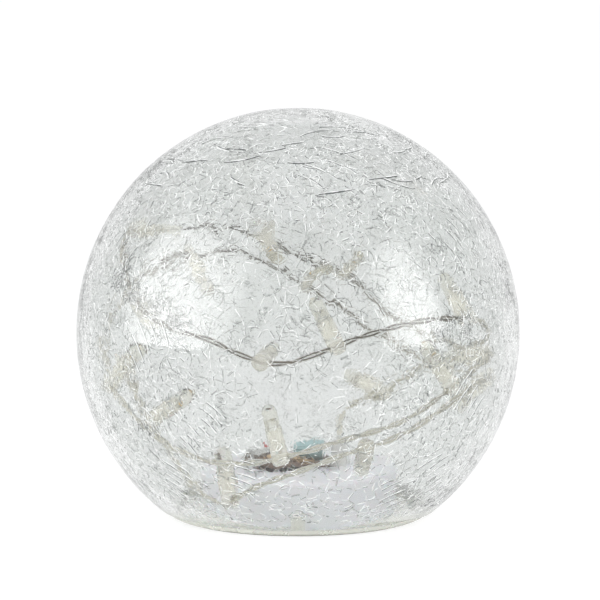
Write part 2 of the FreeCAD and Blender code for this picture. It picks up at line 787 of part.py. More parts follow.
def lying_can(label, radius, length, middle, level, edge):
    """A round can that lies along X, with its ends drawn in by edge."""
    body = new_body(label)
    turned(body, "CanProfile", [
        (ZERO, ZERO), (radius - edge, ZERO), (radius, edge), (radius, length - edge),
        (radius - edge, length), (ZERO, length)])
    body.Placement = Placement(Vector(0, 0, 0), Rotation(Vector(0, 1, 0), 90.0))
    body.setExpression("Placement.Base.x", (middle[0] - length / 2).text)
    body.setExpression("Placement.Base.y", middle[1].text)
    body.setExpression("Placement.Base.z", (level + radius).text)
    return body


def make_resistors():
    """Two small resistors lying across the front of the board, on bent legs."""
    shapes = []
    radius = S["resistor_radius"].number
    half = S["resistor_length"].number / 2
    leg = S["resistor_leg"].number
    leg_end = half + S["resistor_leg_reach"].number
    across = Vector(1, 0, 0)
    level = board_top.number + radius
    front = -(S["board_depth"].number / 2 - S["board_hole_inset"].number)
    for place_share in RESISTOR_PLACE_SHARES:
        x = board_place.number + S["board_width"].number * place_share
        case = Part.makeCylinder(radius, 2 * half, Vector(x - half, front, level), across)
        wire = Part.makeCylinder(leg, 2 * leg_end, Vector(x - leg_end, front, level), across)
        part = case.fuse(wire)
        for side in (-1, 1):
            foot = Vector(x + side * (leg_end - leg), front, board_top.number)
            part = part.fuse(Part.makeCylinder(leg, radius, foot, Vector(0, 0, 1)))
        shapes.append(part.removeSplitter())
    return solid_feature("resistors", Part.makeCompound(shapes))


def screw_shape(length):
    """A pan head screw with a cross slot, head down at the origin and shank up."""
    head = Part.makeCylinder(S["screw_head"].number, S["screw_head_height"].number)
    shank = Part.makeCylinder(S["screw_radius"].number, length + S["screw_head_height"].number)
    screw = head.fuse(shank)
    slot = S["screw_slot"].number
    arm = S["screw_head"].number * SCREW_SLOT_SHARE
    for turn in (0.0, 90.0):
        bar = Part.makeBox(2 * arm, slot, slot, Vector(-arm, -slot / 2, 0))
        bar.rotate(Vector(0, 0, 0), Vector(0, 0, 1), turn)
        screw = screw.cut(bar)
    return screw.removeSplitter()


def make_screws(label, places, level, length, down=False):
    shapes = []
    for x, y in places:
        screw = screw_shape(length.number)
        if down:
            screw.rotate(Vector(0, 0, 0), Vector(1, 0, 0), 180.0)
        screw.translate(Vector(x.number, y.number, level.number))
        shapes.append(screw)
    return solid_feature(label, Part.makeCompound(shapes))


# Slide switch and its knob

def make_slide_switch():
    body = new_body("slide_switch")
    middle = (switch_place, ZERO)
    raised(body, "SwitchCase", collar_top, S["switch_height"],
           outlines=[block(S["switch_width"] / 2, S["switch_length"] / 2, middle)])
    slot_half = (S["knob_travel"] + S["knob_neck_length"]) / 2 + S["knob_gap"]
    sunk(body, "SwitchSlot", collar_top, S["switch_slot_depth"],
         outlines=[block(S["knob_neck_width"] / 2 + S["knob_gap"], slot_half, middle)])
    top = collar_top + S["switch_height"]
    legs = [((switch_place, S["switch_leg_pitch"] * step if step else ZERO), S["switch_leg_radius"])
            for step in SWITCH_LEG_STEPS]
    raised(body, "SwitchLegs", top - S["switch_leg_radius"], S["switch_leg"] + S["switch_leg_radius"],
           circles=legs)
    return body


def make_switch_knob():
    body = new_body("switch_knob")
    off_place = (switch_place, -S["knob_travel"] / 2)
    bottom = plate_bottom + S["knob_sunk"]
    raised(body, "KnobCap", bottom, S["knob_height"],
           outlines=[block(S["knob_width"] / 2, S["knob_length"] / 2, off_place)])
    neck_bottom = bottom + S["knob_height"]
    neck_top = collar_top + S["switch_slot_depth"] - S["knob_gap"]
    raised(body, "KnobNeck", neck_bottom, neck_top - neck_bottom,
           outlines=[block(S["knob_neck_width"] / 2, S["knob_neck_length"] / 2, off_place)])
    grooves = []
    for step in KNOB_GROOVE_STEPS:
        y = off_place[1] + S["knob_grip"] * step
        half_width = S["knob_width"] / 2 - S["knob_grip"]
        grooves.append(block(half_width, S["knob_grip"] / 2, (switch_place, y)))
    sunk(body, "KnobGrip", bottom, S["knob_grip"], outlines=grooves)
    return body


# Wires

def rounded_path(points):
    """Straight runs through the points, joined by tangent arcs, and the arcs' radii."""
    edges = []
    radii = []
    here = points[0]
    for index in range(1, len(points) - 1):
        corner = points[index]
        back = points[index - 1] - corner
        ahead = points[index + 1] - corner
        reach = ARC_REACH_SHARE * min(back.Length, ahead.Length)
        turn = math.pi - back.getAngle(ahead)
        radii.append(reach / math.tan(turn / 2))
        arc_start = corner + back.normalize() * reach
        arc_end = corner + ahead.normalize() * reach
        edges.append(Part.LineSegment(here, arc_start).toShape())
        edges.append(Part.Arc(arc_start, arc_middle(arc_start, corner, arc_end), arc_end).toShape())
        here = arc_end
    edges.append(Part.LineSegment(here, points[-1]).toShape())
    return edges, radii


def make_wire(label, points, radius):
    edges, radii = rounded_path(points)
    tube = pipe(edges, radius, points[0], points[1] - points[0])
    length = sum(edge.Length for edge in edges)
    plain = math.pi * radius * radius * length
    print("%s: %.0f mm long, least radius %.1f mm, volume %.4f of section times length"
          % (label, length, min(radii), tube.Volume / plain))
    if not tube.isValid() or abs(tube.Volume / plain - 1.0) > VOLUME_ERROR_SHARE:
        raise ValueError("the tube of %s is not whole" % label)
    return solid_feature(label, tube), edges


# The three leads inside the drum, chosen by hand, in millimetres.
RED_LEAD = [(-11.1, 24.6, 15.0), (-11.1, 18.6, 15.0), (-11.1, 14.0, 15.3), (-11.2, 12.9, 19.4),
            (-11.1, 10.0, 23.2), (-10.9, 6.9, 22.2), (-10.9, 6.8, 19.45)]
BLACK_LEAD = [(11.1, -24.6, 15.0), (11.0, -17.0, 15.0), (8.0, -7.0, 15.0), (-1.5, 1.0, 15.0),
              (-4.8, 7.6, 15.0), (-5.8, 12.6, 15.1), (-5.9, 12.6, 19.4), (-5.8, 10.0, 23.0),
              (-5.6, 6.9, 22.2), (-5.6, 6.8, 19.45)]
WHITE_LEAD = [(26.0, 3.0, 9.45), (25.9, 3.2, 12.0), (22.5, 5.5, 14.9), (16.0, 9.5, 15.0),
              (6.0, 14.6, 15.0), (-4.4, 15.7, 14.9), (-8.7, 15.5, 16.3), (-8.6, 13.2, 20.6),
              (-8.3, 9.6, 23.2), (-8.2, 6.9, 22.2), (-8.2, 6.8, 19.45)]

# The string's free lead from its clamp to the wall of the globe, chosen by hand, in millimetres.
STRING_LEAD = [(13.6, 1.5, 24.0), (13.6, 1.5, 31.0), (17.5, 8.0, 36.5), (25.5, 18.5, 38.5),
               (34.5, 30.0, 40.5)]

# The coil, clockwise from above: degrees about the middle, height above the surface and distance
# in from the wall, in millimetres, chosen by hand.
STRING_COIL = [
    (44.0, 44.5, 6.1), (31.0, 51.0, 5.0), (12.0, 57.0, 4.5), (-6.0, 63.0, 3.5), (-24.0, 69.5, 1.5),
    (-43.0, 73.5, 0.0), (-60.0, 72.5, 0.0), (-74.0, 69.0, 0.3), (-85.0, 64.0, 0.0), (-95.0, 60.2, 0.0),
    (-105.0, 63.0, 0.2), (-115.0, 68.5, 0.0), (-127.0, 70.0, 0.4), (-139.0, 75.0, 0.0),
    (-150.0, 84.0, 0.0), (-164.0, 94.0, 0.5), (-181.0, 98.0, 0.0), (-199.0, 96.5, 0.0),
    (-218.0, 95.4, 0.3), (-236.0, 94.0, 0.0), (-252.0, 92.8, 0.0), (-266.0, 88.0, 0.4),
    (-278.0, 79.5, 0.0), (-290.0, 70.0, 0.0), (-303.0, 59.5, 0.2), (-319.0, 53.0, 0.0),
    (-339.0, 52.0, 0.0), (-359.0, 55.0, 0.3), (-379.0, 58.5, 0.0), (-395.0, 54.5, 0.0),
    (-408.0, 46.5, 0.4), (-420.0, 40.0, 0.0), (-434.0, 36.5, 0.0), (-448.0, 32.0, 0.3),
    (-463.0, 27.5, 0.0), (-480.0, 26.5, 1.0), (-497.0, 31.5, 1.0), (-513.0, 42.5, 0.5),
    (-529.0, 54.5, 0.0), (-546.0, 66.0, 0.3), (-565.0, 76.0, 0.0), (-584.0, 83.2, 0.0),
    (-601.0, 86.0, 0.3), (-615.0, 83.5, 0.0), (-628.0, 76.0, 0.0), (-640.0, 66.5, 0.4),
    (-654.0, 57.0, 0.0), (-671.0, 48.5, 0.0), (-690.0, 44.5, 0.3), (-710.0, 45.5, 0.0),
    (-729.0, 49.5, 0.0), (-745.0, 51.0, 0.4), (-758.0, 47.5, 0.0), (-770.0, 40.0, 0.0),
    (-782.0, 34.5, 0.3), (-796.0, 31.0, 0.0), (-809.0, 25.5, 0.0), (-822.0, 20.5, 0.3),
    (-834.0, 15.0, 1.0), (-846.0, 10.4, 3.0), (-860.0, 11.5, 4.5), (-866.0, 21.0, 6.0),
    (-868.0, 32.0, 6.5), (-874.0, 42.0, 6.8), (-886.0, 50.0, 8.0)]

# The lamps on the string: the run of the route that carries each, and its lean in degrees from
# straight inwards (0) towards upwards (90) or downwards (-90).
LAMPS = [
    (3, -60.0), (9, 62.0), (12, 66.0), (14, 8.0), (18, -35.0), (21, 30.0), (25, 6.0), (27, 64.0),
    (31, -15.0), (34, 62.0), (38, 55.0), (42, 50.0), (46, -30.0), (49, 40.0), (54, -50.0),
    (59, -64.0), (63, 35.0), (67, 40.0)]


def wall_point(azimuth, height, inset):
    """A point of the string's middle line beside the globe's inner wall."""
    gap = (S["globe_wall"] + S["sleeve_wall_gap"] + S["sleeve_radius"]).number
    level_radius = S["globe_radius"].number - gap
    upright_radius = S["globe_half_height"].number - gap
    share = (height - globe_middle.number) / upright_radius
    radius = level_radius * math.sqrt(1.0 - share * share) - inset
    turn = math.radians(azimuth)
    return Vector(radius * math.cos(turn), radius * math.sin(turn), height)


def string_route():
    return [Vector(*point) for point in STRING_LEAD] + [wall_point(*row) for row in STRING_COIL]


def least_self_gap(edges, radius):
    """The least gap between two turns of one tube, measured on points along it."""
    points = []
    for edge in edges:
        count = max(2, int(edge.Length))
        points += edge.discretize(count)[:-1]
    travelled = [0.0]
    for near, far in zip(points, points[1:]):
        travelled.append(travelled[-1] + (far - near).Length)
    least = float("inf")
    for first in range(0, len(points), 2):
        for second in range(first + 2, len(points), 2):
            if travelled[second] - travelled[first] > SAME_BEND_RADII * radius:
                least = min(least, (points[first] - points[second]).Length)
    return least - 2 * radius


def lamp_frame(route, run, lean):
    """Where a lamp's tail holds the wire, and how the lamp is turned about it."""
    start = route[run]
    end = route[run + 1]
    along = (end - start).normalize()
    middle = (start + end) * 0.5
    inwards = Vector(-middle.x, -middle.y, globe_middle.number - middle.z)
    inwards = (inwards - along * inwards.dot(along)).normalize()
    upwards = along.cross(inwards)
    if upwards.z < 0:
        upwards = upwards * -1.0
    turn = math.radians(lean)
    axis = inwards * math.cos(turn) + upwards * math.sin(turn)
    side = axis.cross(along)
    matrix = FreeCAD.Matrix(along.x, side.x, axis.x, middle.x,
                            along.y, side.y, axis.y, middle.y,
                            along.z, side.z, axis.z, middle.z,
                            0, 0, 0, 1)
    return Placement(matrix)


def make_lamp_sleeve(number, frame):
    """A clear sleeve that grips the wire in its closed tail and holds the lamp in its mouth."""
    body = new_body("led_sleeve_%02d" % number)
    tail_radius_share, tail_height_share = SLEEVE_TAIL_SHARES
    turned(body, "SleeveProfile", [
        (ZERO, -S["sleeve_tail"]), (S["sleeve_radius"] * tail_radius_share, -S["sleeve_tail"]),
        (S["sleeve_radius"], -S["sleeve_tail"] * tail_height_share), (S["sleeve_radius"], S["sleeve_floor"]),
        (S["sleeve_mouth_radius"], S["sleeve_length"]), (S["sleeve_cavity"], S["sleeve_length"]),
        (S["sleeve_cavity"], S["sleeve_floor"]), (ZERO, S["sleeve_floor"])])
    cut_sideways(body, "WireBore", ((ZERO, ZERO), S["string_radius"] + S["sleeve_bore_gap"]),
                 S["sleeve_radius"] + S["cut_overrun"])
    body.Placement = frame
    return body


def bulb_shape():
    """One lamp: a domed clear body on a flange, with its two legs, upright on the origin."""
    base = S["sleeve_length"].number
    flange = Part.makeCylinder(S["bulb_flange"].number, S["bulb_flange_height"].number, Vector(0, 0, base))
    radius = S["bulb_radius"].number
    straight = S["bulb_height"].number - radius
    case = Part.makeCylinder(radius, straight, Vector(0, 0, base))
    dome = Part.makeSphere(radius, Vector(0, 0, base + straight))
    bulb = flange.fuse([case, dome])
    for side in (-1, 1):
        place = Vector(side * S["bulb_leg_space"].number, 0, base - bulb_leg_length.number)
        bulb = bulb.fuse(Part.makeCylinder(S["bulb_leg"].number, bulb_leg_length.number, place))
    return bulb.removeSplitter()


def make_clamp():
    body = new_body("string_clamp")
    base = S["clamp_base"]
    tip = S["clamp_tip"]
    turned(body, "ClampProfile", [
        (ZERO, roof_top), (base, roof_top), (base, board_bottom),
        (clamp_waist, board_bottom), (tip, roof_top + S["clamp_height"]),
        (ZERO, roof_top + S["clamp_height"])])
    body.setExpression("Placement.Base.x", S["clamp_place"].text)
    body.setExpression("Placement.Base.y", S["clamp_depth"].text)
    return body


def make_string_pieces():
    route = string_route()
    string, edges = make_wire("led_string", route, S["string_radius"].number)
    print("led_string: least gap to itself %.2f mm" % least_self_gap(edges, S["string_radius"].number))
    pieces = [string, make_clamp()]
    bulbs = []
    for number, (run, lean) in enumerate(LAMPS, start=1):
        frame = lamp_frame(route, run, lean)
        pieces.append(make_lamp_sleeve(number, frame))
        bulb = bulb_shape()
        bulb.Placement = frame
        bulbs.append(bulb)
    pieces.append(solid_feature("led_bulbs", Part.makeCompound(bulbs)))
    way = (route[-1] - route[-2]).normalize()
    start = route[-1] + way * S["contact_gap"].number
    cap = Part.makeCylinder(S["end_cap_radius"].number, S["end_cap_length"].number, start, way)
    cap = cap.makeFillet(S["end_cap_radius"].number * END_CAP_ROUND_SHARE, [cap.Edges[0], cap.Edges[2]])
    pieces.append(solid_feature("string_end_cap", cap))
    return pieces


def make_all():
    pieces = [make_globe(), make_rim_seal(), make_collar_ring(), make_foot_ring(), make_battery_tray()]
    pieces += [make_battery_door(), make_door_gasket()]
    for number, side in enumerate(CELL_SIDES, start=1):
        pieces.append(make_cell(number, side, PLUS_AT_BACK[number - 1]))
    contacts = [("positive_contact", -1, -1, True, -1), ("back_bridge_contact", 0, 1, True, 1),
                ("front_bridge_contact", -1, 0, False, 0), ("negative_contact", 1, 1, False, None)]
    for row in contacts:
        pieces.append(make_contact(*row))
    for number, (side, at_back) in enumerate([(-1, False), (0, True), (1, False)], start=1):
        pieces.append(make_spring(number, side, at_back))
    pieces += [make_drum_cover(), make_circuit_board(), make_timer_chip()]
    edge = S["can_edge"]
    pieces.append(lying_can("smoothing_capacitor", S["capacitor_radius"], S["capacitor_length"],
                            board_spot(CAPACITOR_PLACE_SHARES), board_top, edge))
    pieces.append(lying_can("quartz_crystal", S["crystal_radius"], S["crystal_length"],
                            (crystal_place, S["board_depth"] * CRYSTAL_DEPTH_SHARE), board_top, edge))
    pieces.append(make_resistors())
    collar_places = ring_places(collar_screw_place, COLLAR_SCREW_ANGLES)
    head_top = board_top + S["screw_head_height"]
    pieces.append(make_screws("collar_screws", collar_places, plate_bottom, collar_screw_length))
    pieces.append(make_screws("cover_screws", cover_screw_places(), plate_bottom, S["cover_screw_length"]))
    pieces.append(make_screws("board_screws", board_hole_places(), head_top, S["board_screw_length"], True))
    pieces += [make_slide_switch(), make_switch_knob()]
    for label, points in (("red_lead", RED_LEAD), ("black_lead", BLACK_LEAD), ("white_lead", WHITE_LEAD)):
        pieces.append(make_wire(label, [Vector(*point) for point in points], S["lead_radius"].number)[0])
    return pieces + make_string_pieces()


pieces = make_all()
doc.recompute()
for thing in doc.Objects:
    if "Invalid" in thing.State or "Error" in thing.State:
        raise RuntimeError("%s did not compute: %s" % (thing.Name, thing.State))
os.makedirs("parts", exist_ok=True)
for piece in pieces:
    if piece.Shape.isNull() or not piece.Shape.isValid():
        raise RuntimeError("%s has no valid shape" % piece.Label)
for piece in pieces:
    piece.Shape.exportStep("parts/%s.step" % piece.Label)
print("%d pieces written" % len(pieces))
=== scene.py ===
import math
from contextlib import contextmanager

import bmesh
import bpy
import numpy as np
from mathutils import Matrix, Vector


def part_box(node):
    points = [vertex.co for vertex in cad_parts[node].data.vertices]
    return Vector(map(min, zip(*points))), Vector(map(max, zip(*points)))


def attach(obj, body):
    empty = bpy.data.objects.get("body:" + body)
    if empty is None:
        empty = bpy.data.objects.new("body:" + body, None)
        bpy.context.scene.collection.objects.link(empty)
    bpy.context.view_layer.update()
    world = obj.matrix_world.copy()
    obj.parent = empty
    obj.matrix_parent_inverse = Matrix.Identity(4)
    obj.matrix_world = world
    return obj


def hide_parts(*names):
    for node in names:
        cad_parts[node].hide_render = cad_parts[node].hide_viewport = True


# LED ball light: a crackle glass globe on a clear collar, with a battery drum, a circuit board and
# a loose coil of LED string inside it. Metres, +Z up, origin on the surface that it stands on.

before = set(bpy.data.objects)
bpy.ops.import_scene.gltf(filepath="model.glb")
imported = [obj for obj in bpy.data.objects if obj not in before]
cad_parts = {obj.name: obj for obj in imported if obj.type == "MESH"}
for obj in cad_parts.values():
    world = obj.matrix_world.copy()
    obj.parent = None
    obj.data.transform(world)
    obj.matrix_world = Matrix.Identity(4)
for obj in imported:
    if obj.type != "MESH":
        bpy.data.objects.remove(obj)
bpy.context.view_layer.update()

# Sizes that the globe and the string follow.
GLOBE_RADIUS = 0.075
GLOBE_HALF_HEIGHT = 0.0762
GLOBE_WALL = 0.004
GLOBE_MIDDLE = 0.0626
STRAND_RADIUS = 0.00053
SLEEVE_RADIUS = 0.0028
SLEEVE_WALL_GAP = 0.0007
RIM_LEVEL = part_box("glass_globe")[0].z
LEVEL_TOLERANCE = 0.00002            # a point this near the rim's level lies on the rim

# The photograph's view: where the middle of the globe lies in its 600 pixels, and its outline there.
PHOTO_SIDE = 600
PHOTO_MIDDLE = (298, 333)
PHOTO_HALF_SIZE = (221.75, 225.0)
CAMERA_DISTANCE = 1.2
CAMERA_RISE = math.radians(7.0)
SENSOR = 36.0
NEAREST_SEEN = 0.01

# The string's free lead from its clamp to the wall of the globe.
STRING_LEAD = [
    (0.0136, 0.0015, 0.024), (0.0136, 0.0015, 0.031), (0.0175, 0.008, 0.0365), (0.0255, 0.0185, 0.0385),
    (0.0345, 0.03, 0.0405)]

# The coil, clockwise from above: degrees about the middle, height and distance in from the wall.
STRING_COIL = [
    (44, 0.0445, 0.0061), (31, 0.051, 0.005), (12, 0.057, 0.0045), (-6, 0.063, 0.0035),
    (-24, 0.0695, 0.0015), (-43, 0.0735, 0.0), (-60, 0.0725, 0.0), (-74, 0.069, 0.0003),
    (-85, 0.064, 0.0), (-95, 0.0602, 0.0), (-105, 0.063, 0.0002), (-115, 0.0685, 0.0),
    (-127, 0.07, 0.0004), (-139, 0.075, 0.0), (-150, 0.084, 0.0), (-164, 0.094, 0.0005),
    (-181, 0.098, 0.0), (-199, 0.0965, 0.0), (-218, 0.0954, 0.0003), (-236, 0.094, 0.0),
    (-252, 0.0928, 0.0), (-266, 0.088, 0.0004), (-278, 0.0795, 0.0), (-290, 0.07, 0.0),
    (-303, 0.0595, 0.0002), (-319, 0.053, 0.0), (-339, 0.052, 0.0), (-359, 0.055, 0.0003),
    (-379, 0.0585, 0.0), (-395, 0.0545, 0.0), (-408, 0.0465, 0.0004), (-420, 0.04, 0.0),
    (-434, 0.0365, 0.0), (-448, 0.032, 0.0003), (-463, 0.0275, 0.0), (-480, 0.0265, 0.001),
    (-497, 0.0315, 0.001), (-513, 0.0425, 0.0005), (-529, 0.0545, 0.0), (-546, 0.066, 0.0003),
    (-565, 0.076, 0.0), (-584, 0.0832, 0.0), (-601, 0.086, 0.0003), (-615, 0.0835, 0.0),
    (-628, 0.076, 0.0), (-640, 0.0665, 0.0004), (-654, 0.057, 0.0), (-671, 0.0485, 0.0),
    (-690, 0.0445, 0.0003), (-710, 0.0455, 0.0), (-729, 0.0495, 0.0), (-745, 0.051, 0.0004),
    (-758, 0.0475, 0.0), (-770, 0.04, 0.0), (-782, 0.0345, 0.0003), (-796, 0.031, 0.0),
    (-809, 0.0255, 0.0), (-822, 0.0205, 0.0003), (-834, 0.015, 0.001), (-846, 0.0104, 0.003),
    (-860, 0.0115, 0.0045), (-866, 0.021, 0.006), (-868, 0.032, 0.0065), (-874, 0.042, 0.0068),
    (-886, 0.05, 0.008)]

# The lamps: the run of the route that carries each, and its lean in degrees from straight inwards.
LAMPS = [
    (3, -60), (9, 62), (12, 66), (14, 8), (18, -35), (21, 30), (25, 6), (27, 64), (31, -15),
    (34, 62), (38, 55), (42, 50), (46, -30), (49, 40), (54, -50), (59, -64), (63, 35), (67, 40)]
SLEEVES = ["led_sleeve_%02d" % number for number in range(1, len(LAMPS) + 1)]


# Camera, light and floor

def point_camera():
    camera = bpy.data.objects.new("Camera", bpy.data.cameras.new("Camera"))
    bpy.context.scene.collection.objects.link(camera)
    back = CAMERA_DISTANCE * math.cos(CAMERA_RISE)
    camera.location = (0, -back, GLOBE_MIDDLE + CAMERA_DISTANCE * math.sin(CAMERA_RISE))
    camera.rotation_euler = (math.pi / 2 - CAMERA_RISE, 0, 0)
    reach = math.sqrt(CAMERA_DISTANCE ** 2 - GLOBE_RADIUS ** 2)
    focal_pixels = PHOTO_HALF_SIZE[0] * reach / GLOBE_RADIUS
    camera.data.sensor_width = SENSOR
    camera.data.lens = focal_pixels / PHOTO_SIDE * SENSOR
    camera.data.shift_x = 0.5 - PHOTO_MIDDLE[0] / PHOTO_SIDE
    camera.data.shift_y = PHOTO_MIDDLE[1] / PHOTO_SIDE - 0.5
    camera.data.clip_start = NEAREST_SEEN
    bpy.context.scene.camera = camera


WHITE_IN_MIRRORS = 0.1               # the share of the white backdrop that a reflection shows


def new_node(tree, kind, inputs=None, **settings):
    """A node whose inputs, by name or number, each get a plain value or the output given."""
    node = tree.nodes.new("ShaderNode" + kind)
    for key, value in settings.items():
        setattr(node, key, value)
    for key, value in (inputs or {}).items():
        if isinstance(value, bpy.types.NodeSocket):
            tree.links.new(value, node.inputs[key])
        else:
            node.inputs[key].default_value = value
    return node


def reckon(tree, operation, one, other=0.0):
    """A Math node's result for two plain or linked values."""
    return new_node(tree, "Math", {0: one, 1: other}, operation=operation).outputs[0]


def seen_by_eye(tree):
    """1 for what the camera sees straight or through glass, less in a reflection, and 0 for plain light."""
    path = new_node(tree, "LightPath").outputs
    total = reckon(tree, "MULTIPLY", path["Is Glossy Ray"], WHITE_IN_MIRRORS)
    for kind in ("Is Camera Ray", "Is Transmission Ray"):
        total = reckon(tree, "MAXIMUM", total, path[kind])
    return total


ROOM_LIGHT = (0.76, 0.765, 0.77)     # the plain light from all round
BACKDROP = (1, 1, 1)
FLOOR_SIDE = 16.0
FLOOR_PAPER = (0.97, 0.97, 0.97)
FLOOR_GLOW = 1.09
FLOOR_GLOW_SHARE = 0.78              # what is left to the paper keeps the shadow

# Name, degrees round from the camera, degrees up, distance, width, height and power. The softboxes
# show only as reflections in the glass, and the fills give the plain light.
SOFTBOXES = [("SoftboxLeft", -66, 12, 1.0, 1.5, 1.8, 66.0), ("SoftboxRight", 60, 14, 1.1, 0.8, 1.3, 28.0)]
FILLS = [("FillLeft", -50, 45, 1.4, 0.8, 0.8, 5.5), ("FillRight", 55, 40, 1.5, 0.8, 0.8, 3.5)]
# These stand for the glints of the cracks' mirror faces: they light the cracks alone, from all round.
GLINTS = [("GlintLeft", -50, 30, 1.2, 0.6, 0.6, 4.3), ("GlintRight", 50, 30, 1.2, 0.6, 0.6, 3.6),
          ("GlintBackLeft", -140, 35, 1.2, 0.6, 0.6, 3.2), ("GlintBackRight", 140, 35, 1.2, 0.6, 0.6, 2.6)]


def soften_edges(lamp):
    """A softbox that fades towards its four edges."""
    lamp.use_nodes = True
    tree = lamp.node_tree
    split = new_node(tree, "SeparateXYZ", {0: new_node(tree, "NewGeometry").outputs["Parametric"]})
    waves = [reckon(tree, "SINE", reckon(tree, "MULTIPLY", split.outputs[axis], math.pi)) for axis in "XY"]
    tree.links.new(reckon(tree, "MULTIPLY", *waves), tree.nodes["Emission"].inputs["Strength"])


def light_the_room(cracks):
    """The white room, and the lamps, which show neither straight nor through glass."""
    scene = bpy.context.scene
    scene.view_settings.view_transform = "Standard"
    world = bpy.data.worlds.new("Studio")
    scene.world = world
    world.use_nodes = True
    tree = world.node_tree
    mix = new_node(tree, "Mix", {"Factor": seen_by_eye(tree), "A": (*ROOM_LIGHT, 1), "B": (*BACKDROP, 1)},
                   data_type="RGBA")
    tree.links.new(mix.outputs["Result"], tree.nodes["Background"].inputs["Color"])
    for name, azimuth, rise, distance, width, height, power in SOFTBOXES + FILLS + GLINTS:
        lamp = bpy.data.lights.new(name, "AREA")
        lamp.shape = "RECTANGLE"
        lamp.size = width
        lamp.size_y = height
        lamp.energy = power
        thing = bpy.data.objects.new(name, lamp)
        scene.collection.objects.link(thing)
        turn = math.radians(azimuth)
        climb = math.radians(rise)
        way = Vector((math.sin(turn) * math.cos(climb), -math.cos(turn) * math.cos(climb), math.sin(climb)))
        thing.location = Vector((0, 0, GLOBE_MIDDLE)) + way * distance
        thing.rotation_euler = way.to_track_quat("Z", "Y").to_euler()
        thing.visible_camera = False
        thing.visible_transmission = False
        if name.startswith("Softbox"):
            soften_edges(lamp)
            thing.visible_diffuse = False
        else:
            thing.visible_glossy = False
        if name.startswith("Glint"):
            thing.light_linking.receiver_collection = cracks


def lay_floor():
    """Pale paper that glows white to the eye, holds the shadow and is clear from below."""
    bpy.ops.mesh.primitive_plane_add(size=FLOOR_SIDE, location=(0, 0, 0))
    floor = bpy.context.object
    floor.name = "Floor"
    material = bpy.data.materials.new("pale_floor")
    material.use_nodes = True
    tree = material.node_tree
    tree.nodes.clear()
    diffuse = new_node(tree, "BsdfDiffuse", {"Color": (*FLOOR_PAPER, 1)})
    glow = new_node(tree, "Emission", {"Strength": FLOOR_GLOW})
    share = reckon(tree, "MULTIPLY", seen_by_eye(tree), FLOOR_GLOW_SHARE)
    paper = new_node(tree, "MixShader", {0: share, 1: diffuse.outputs[0], 2: glow.outputs[0]})
    below = new_node(tree, "NewGeometry").outputs["Backfacing"]
    clear = new_node(tree, "BsdfTransparent")
    sides = new_node(tree, "MixShader", {0: below, 1: paper.outputs[0], 2: clear.outputs[0]})
    new_node(tree, "OutputMaterial", {"Surface": sides.outputs[0]})
    floor.data.materials.append(material)


# Finishes. Each starts from a plain surface on the object's own coordinates.

